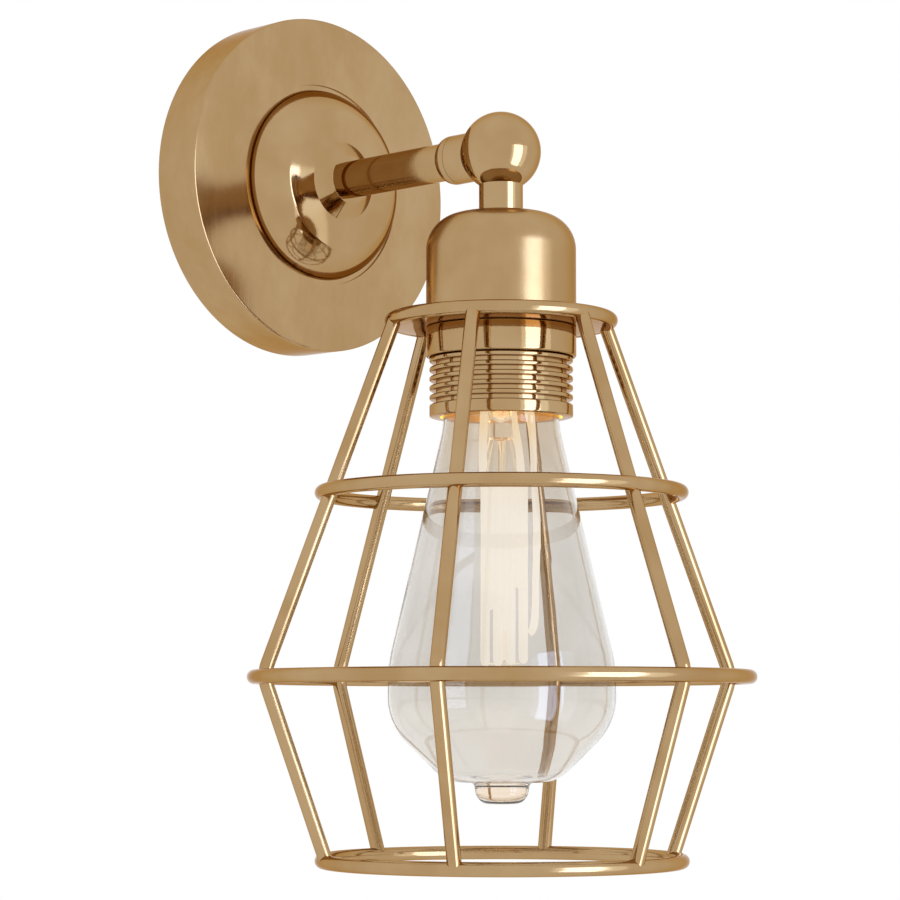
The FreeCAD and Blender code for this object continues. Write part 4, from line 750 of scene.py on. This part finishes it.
def finger(name, degrees, radius, tip):
    """One glowing finger on the ring, with its radius and its lowest point in mm."""
    angle = math.radians(degrees)
    outwards = TOWARDS_RIGHT * math.cos(angle) + TOWARDS_ROOM * math.sin(angle)
    foot = RING_CENTRE + outwards * RING_RADIUS * MM
    profile = [*arc((0, tip + radius), radius, -90, 0, 8), *arc((0, GLOW_TOP - radius), radius, 0, 90, 8)]
    points = [foot + (TOWARDS_RIGHT * p[0] + UP * p[1]) * MM for p in profile]
    piece = extrude_chain(name, points)
    bpy.ops.mesh.select_all(action="SELECT")
    bpy.ops.mesh.spin(steps=20, angle=2 * math.pi, center=foot, axis=UP)
    return close_and_smooth(piece, 60)


print("fingers hang on a ring of", RING_RADIUS, "mm from height", GLOW_TOP, "mm")


# %% Fingers round the ring
# Each pair is the place on the ring, in degrees, and the height of the tip.
FINGERS = ((158.4, -146.1), (108, -146.1), (72, -145.8), (21.6, -145.4),
           (201.6, -144.8), (252, -145.2), (288, -144.9), (338.4, -144.6))
BETWEEN = ((133, -130.5), (90, -136.1), (47, -124.4), (0, -128.0),
           (227, -129.0), (270, -133.0), (313, -122.0), (180, -127.0))


def join_as(name, members):
    """Make one object of several, under a new name."""
    bpy.ops.object.select_all(action="DESELECT")
    for piece in members:
        piece.select_set(True)
    bpy.context.view_layer.objects.active = members[0]
    bpy.ops.object.join()
    members[0].name = members[0].data.name = name
    return members[0]


fingers = [finger("finger_%d" % angle, angle, FINGER_RADIUS, tip) for angle, tip in FINGERS]
fingers += [finger("between_%d" % angle, angle, THIN_RADIUS, tip) for angle, tip in BETWEEN]
filament = join_as("filament_fingers", fingers)
finish_piece(filament, filament_glow, "lamp", "filament")


# %% [markdown]
# ## The strands that feed it
# Three strands come down from the glass stem. Two end in the ring of fingers, and the third runs on
# beside it to a little hook. A strand is a curve with a round bevel, turned into a mesh. Its route is
# a short list of places, and the curve makes the bends between them.
# %% Strands
LEFT_STRAND = [
    (-4.7, 1.0, -66.8, 1.25), (-4.7, 1.0, -72, 1.25), (-4.9, 1.2, -78, 1.2),
    (-5.4, 1.4, -86, 1.2), (-5.0, 1.6, -94, 1.3), (-4.6, 1.6, -99, 1.2)]
MIDDLE_STRAND = [
    (2.9, 1.0, -66.8, 0.95), (3.0, 1.0, -72, 0.95), (3.7, 1.2, -78, 0.95),
    (5.0, 1.4, -85, 1.0), (5.6, 1.6, -94, 1.2), (5.5, 1.6, -100, 1.2)]
RIGHT_STRAND = [
    (6.6, 0.5, -66.8, 1.5), (7.2, 0.5, -71, 1.6), (8.4, 0.5, -77, 1.2), (9.0, 0.3, -84, 0.95),
    (9.1, 0, -94, 0.9), (9.9, 0, -104, 1.05), (9.9, 0, -112, 1.1), (9.5, 0, -122, 0.95),
    (9.5, 0, -131, 1.05), (8.9, 0, -136, 1.15), (7.8, 0, -137, 0.9)]


def strand(name, places):
    """A round strand through places. Each is a distance to the right of the lamp's axis, one towards
    the room, a height and the strand's radius there, in mm."""
    bpy.ops.object.select_all(action="DESELECT")
    bpy.ops.curve.primitive_nurbs_path_add(location=(0, 0, 0))
    piece = bpy.context.object
    piece.name = name
    line = piece.data.splines[0]
    line.points.add(len(places) - len(line.points))
    for point, (right, front, height, width) in zip(line.points, places):
        spot = LAMP_AXIS + (TOWARDS_RIGHT * right + TOWARDS_ROOM * front + UP * height) * MM
        point.co = (*spot, 1)
        point.radius = width
    line.order_u = 3
    line.use_endpoint_u = True
    piece.data.resolution_u = 12
    piece.data.bevel_depth = MM
    piece.data.bevel_resolution = 4
    piece.data.use_fill_caps = True
    bpy.ops.object.convert(target="MESH")
    bpy.ops.object.mode_set(mode="EDIT")
    return close_and_smooth(piece, 60)


leads = join_as("filament_strands", [
    strand("strand_left", LEFT_STRAND),
    strand("strand_middle", MIDDLE_STRAND),
    strand("strand_right", RIGHT_STRAND)])
finish_piece(leads, filament_glow, "lamp", "lead_wires")

# %% [markdown]
# ## Finishes on the CAD nodes that stay
# The other pieces keep their CAD solids, whose shapes are right. Each takes the finish of the material
# slot that the record names for it. The lamp's stem and the wires on it take the painted glow finishes
# that stand in for the filament's light.
# %% Finishes by slot
# The stem and the filament supports get a painted glow in place of the filament's light.
PAINTED_GLOW_FINISHES = {"lamp_stem": stem_glass, "filament_supports": support_wire}
slot_of = {part["node"]: part["material_slot"] for part in frame["record"]["subparts"]}
for name, node in frame["nodes"].items():
    node.data.materials.clear()
    node.data.materials.append(PAINTED_GLOW_FINISHES.get(name, INNER_FINISHES[slot_of[name]]))
print(len(frame["nodes"]), "nodes have a finish")

# %% [markdown]
# ## Studio
# The photograph has a plain white background and no wall. The world is white where the camera, a
# reflection or a view through glass looks at it, and pale grey as a light. The floor is far below, as
# under any wall light, and works in the same way: it shows as nearly white, and takes a faint shadow.
# %% World
SKY_LIGHT = 0.35
scene = bpy.context.scene
scene.view_settings.view_transform = "Standard"
world = bpy.data.worlds.new("studio_white")
scene.world = world
world.use_nodes = True
sky = world.node_tree
sky.nodes.clear()
path_kind = sky.nodes.new("ShaderNodeLightPath")
seen = sky.nodes.new("ShaderNodeMath")
seen.operation = "ADD"
sky.links.new(path_kind.outputs["Is Camera Ray"], seen.inputs[0])
sky.links.new(path_kind.outputs["Is Glossy Ray"], seen.inputs[1])
seen_too = sky.nodes.new("ShaderNodeMath")
seen_too.operation = "ADD"
seen_too.use_clamp = True
sky.links.new(seen.outputs[0], seen_too.inputs[0])
sky.links.new(path_kind.outputs["Is Transmission Ray"], seen_too.inputs[1])
as_light = sky.nodes.new("ShaderNodeBackground")
as_light.inputs["Color"].default_value = (0.9, 0.92, 0.95, 1)
as_light.inputs["Strength"].default_value = SKY_LIGHT
as_backdrop = sky.nodes.new("ShaderNodeBackground")
as_backdrop.inputs["Color"].default_value = (1, 1, 1, 1)
as_backdrop.inputs["Strength"].default_value = 1.0
either = sky.nodes.new("ShaderNodeMixShader")
sky.links.new(seen_too.outputs[0], either.inputs[0])
sky.links.new(as_light.outputs[0], either.inputs[1])
sky.links.new(as_backdrop.outputs[0], either.inputs[2])
out = sky.nodes.new("ShaderNodeOutputWorld")
sky.links.new(either.outputs[0], out.inputs["Surface"])
print("world", world.name, "lights with strength", SKY_LIGHT)

# %% Floor
FLOOR_RADIUS = 5
FLOOR_HEIGHT = -1.2
CAMERA_WHITE = 0.85

bpy.ops.object.select_all(action="DESELECT")
bpy.ops.mesh.primitive_circle_add(vertices=96, radius=FLOOR_RADIUS, fill_type="NGON", location=(0, 0, 0))
floor = bpy.context.object
floor.name = "studio_floor"
bpy.ops.object.mode_set(mode="EDIT")
bpy.ops.transform.translate(value=(0, 0, FLOOR_HEIGHT))
bpy.ops.object.mode_set(mode="OBJECT")

floor_finish = Finish("pale_floor", Roughness=0.8)
speck = floor_finish.noise(4, detail=3)
floor_finish.drive(Base_Color=floor_finish.blend(speck, linear(240, 240, 240), linear(246, 246, 246)))
ray = floor_finish.nodes.new("ShaderNodeLightPath")
in_reflection, through_glass = [
    Signal(floor_finish, ray.outputs[kind]) for kind in ("Is Glossy Ray", "Is Transmission Ray")]
to_camera = Signal(floor_finish, ray.outputs["Is Camera Ray"]) * CAMERA_WHITE
lit = floor_finish.nodes.new("ShaderNodeEmission")
lit.inputs["Color"].default_value = (1, 1, 1, 1)
both = floor_finish.nodes.new("ShaderNodeMixShader")
floor_finish.feed(both.inputs[0], in_reflection + through_glass + to_camera)
floor_finish.links.new(floor_finish.shader.outputs[0], both.inputs[1])
floor_finish.links.new(lit.outputs[0], both.inputs[2])
floor_finish.links.new(both.outputs[0], floor_finish.nodes["Material Output"].inputs["Surface"])
floor.data.materials.append(floor_finish.material)
print("floor at", FLOOR_HEIGHT, "m")


# %% [markdown]
# ## Lights
# A polished metal shows its lamps as highlights, so their shape matters as much as their power. Two
# tall panels stand in the room in front of the light: a narrow one draws the bright line down the cup
# and the spot on the ball, and a wide one spreads it. Both are a little blue, as daylight is, against
# the copper. A small warm light inside the lamp colours the glass and the sleeve's bore.
# %% Panels and the lamp's own light
PANEL_AIM = (0, -0.08, -0.42)
LAMP_LIGHT_HEIGHT = -74


def panel(name, place, target, width, height, watts, colour):
    """A soft area light that faces its target."""
    bpy.ops.object.light_add(type="AREA", location=place)
    lamp = bpy.context.object
    lamp.name = name
    lamp.data.shape = "RECTANGLE"
    lamp.data.size, lamp.data.size_y = width, height
    lamp.data.energy = watts
    lamp.data.color = colour
    lamp.rotation_mode = "QUATERNION"
    lamp.rotation_quaternion = (Vector(target) - Vector(place)).to_track_quat("-Z", "Y")
    lamp.visible_camera = False
    return lamp


panel("key_panel", (0.12, -1.32, -0.42), PANEL_AIM, 0.6, 1.45, 7.3, (0.79, 1.0, 1.5))
panel("wide_panel", (0.24, -1.42, -0.42), PANEL_AIM, 1.25, 1.5, 3.4, (0.78, 1.0, 1.3))

bpy.ops.object.light_add(type="POINT", location=LAMP_AXIS + UP * LAMP_LIGHT_HEIGHT * MM)
lamp_glow = bpy.context.object
lamp_glow.name = "lamp_glow"
lamp_glow.data.energy = 0.12
lamp_glow.data.shadow_soft_size = 0.005
lamp_glow.data.color = (1.0, 0.72, 0.38)
lamp_glow.visible_camera = lamp_glow.visible_transmission = False
print("studio ready")
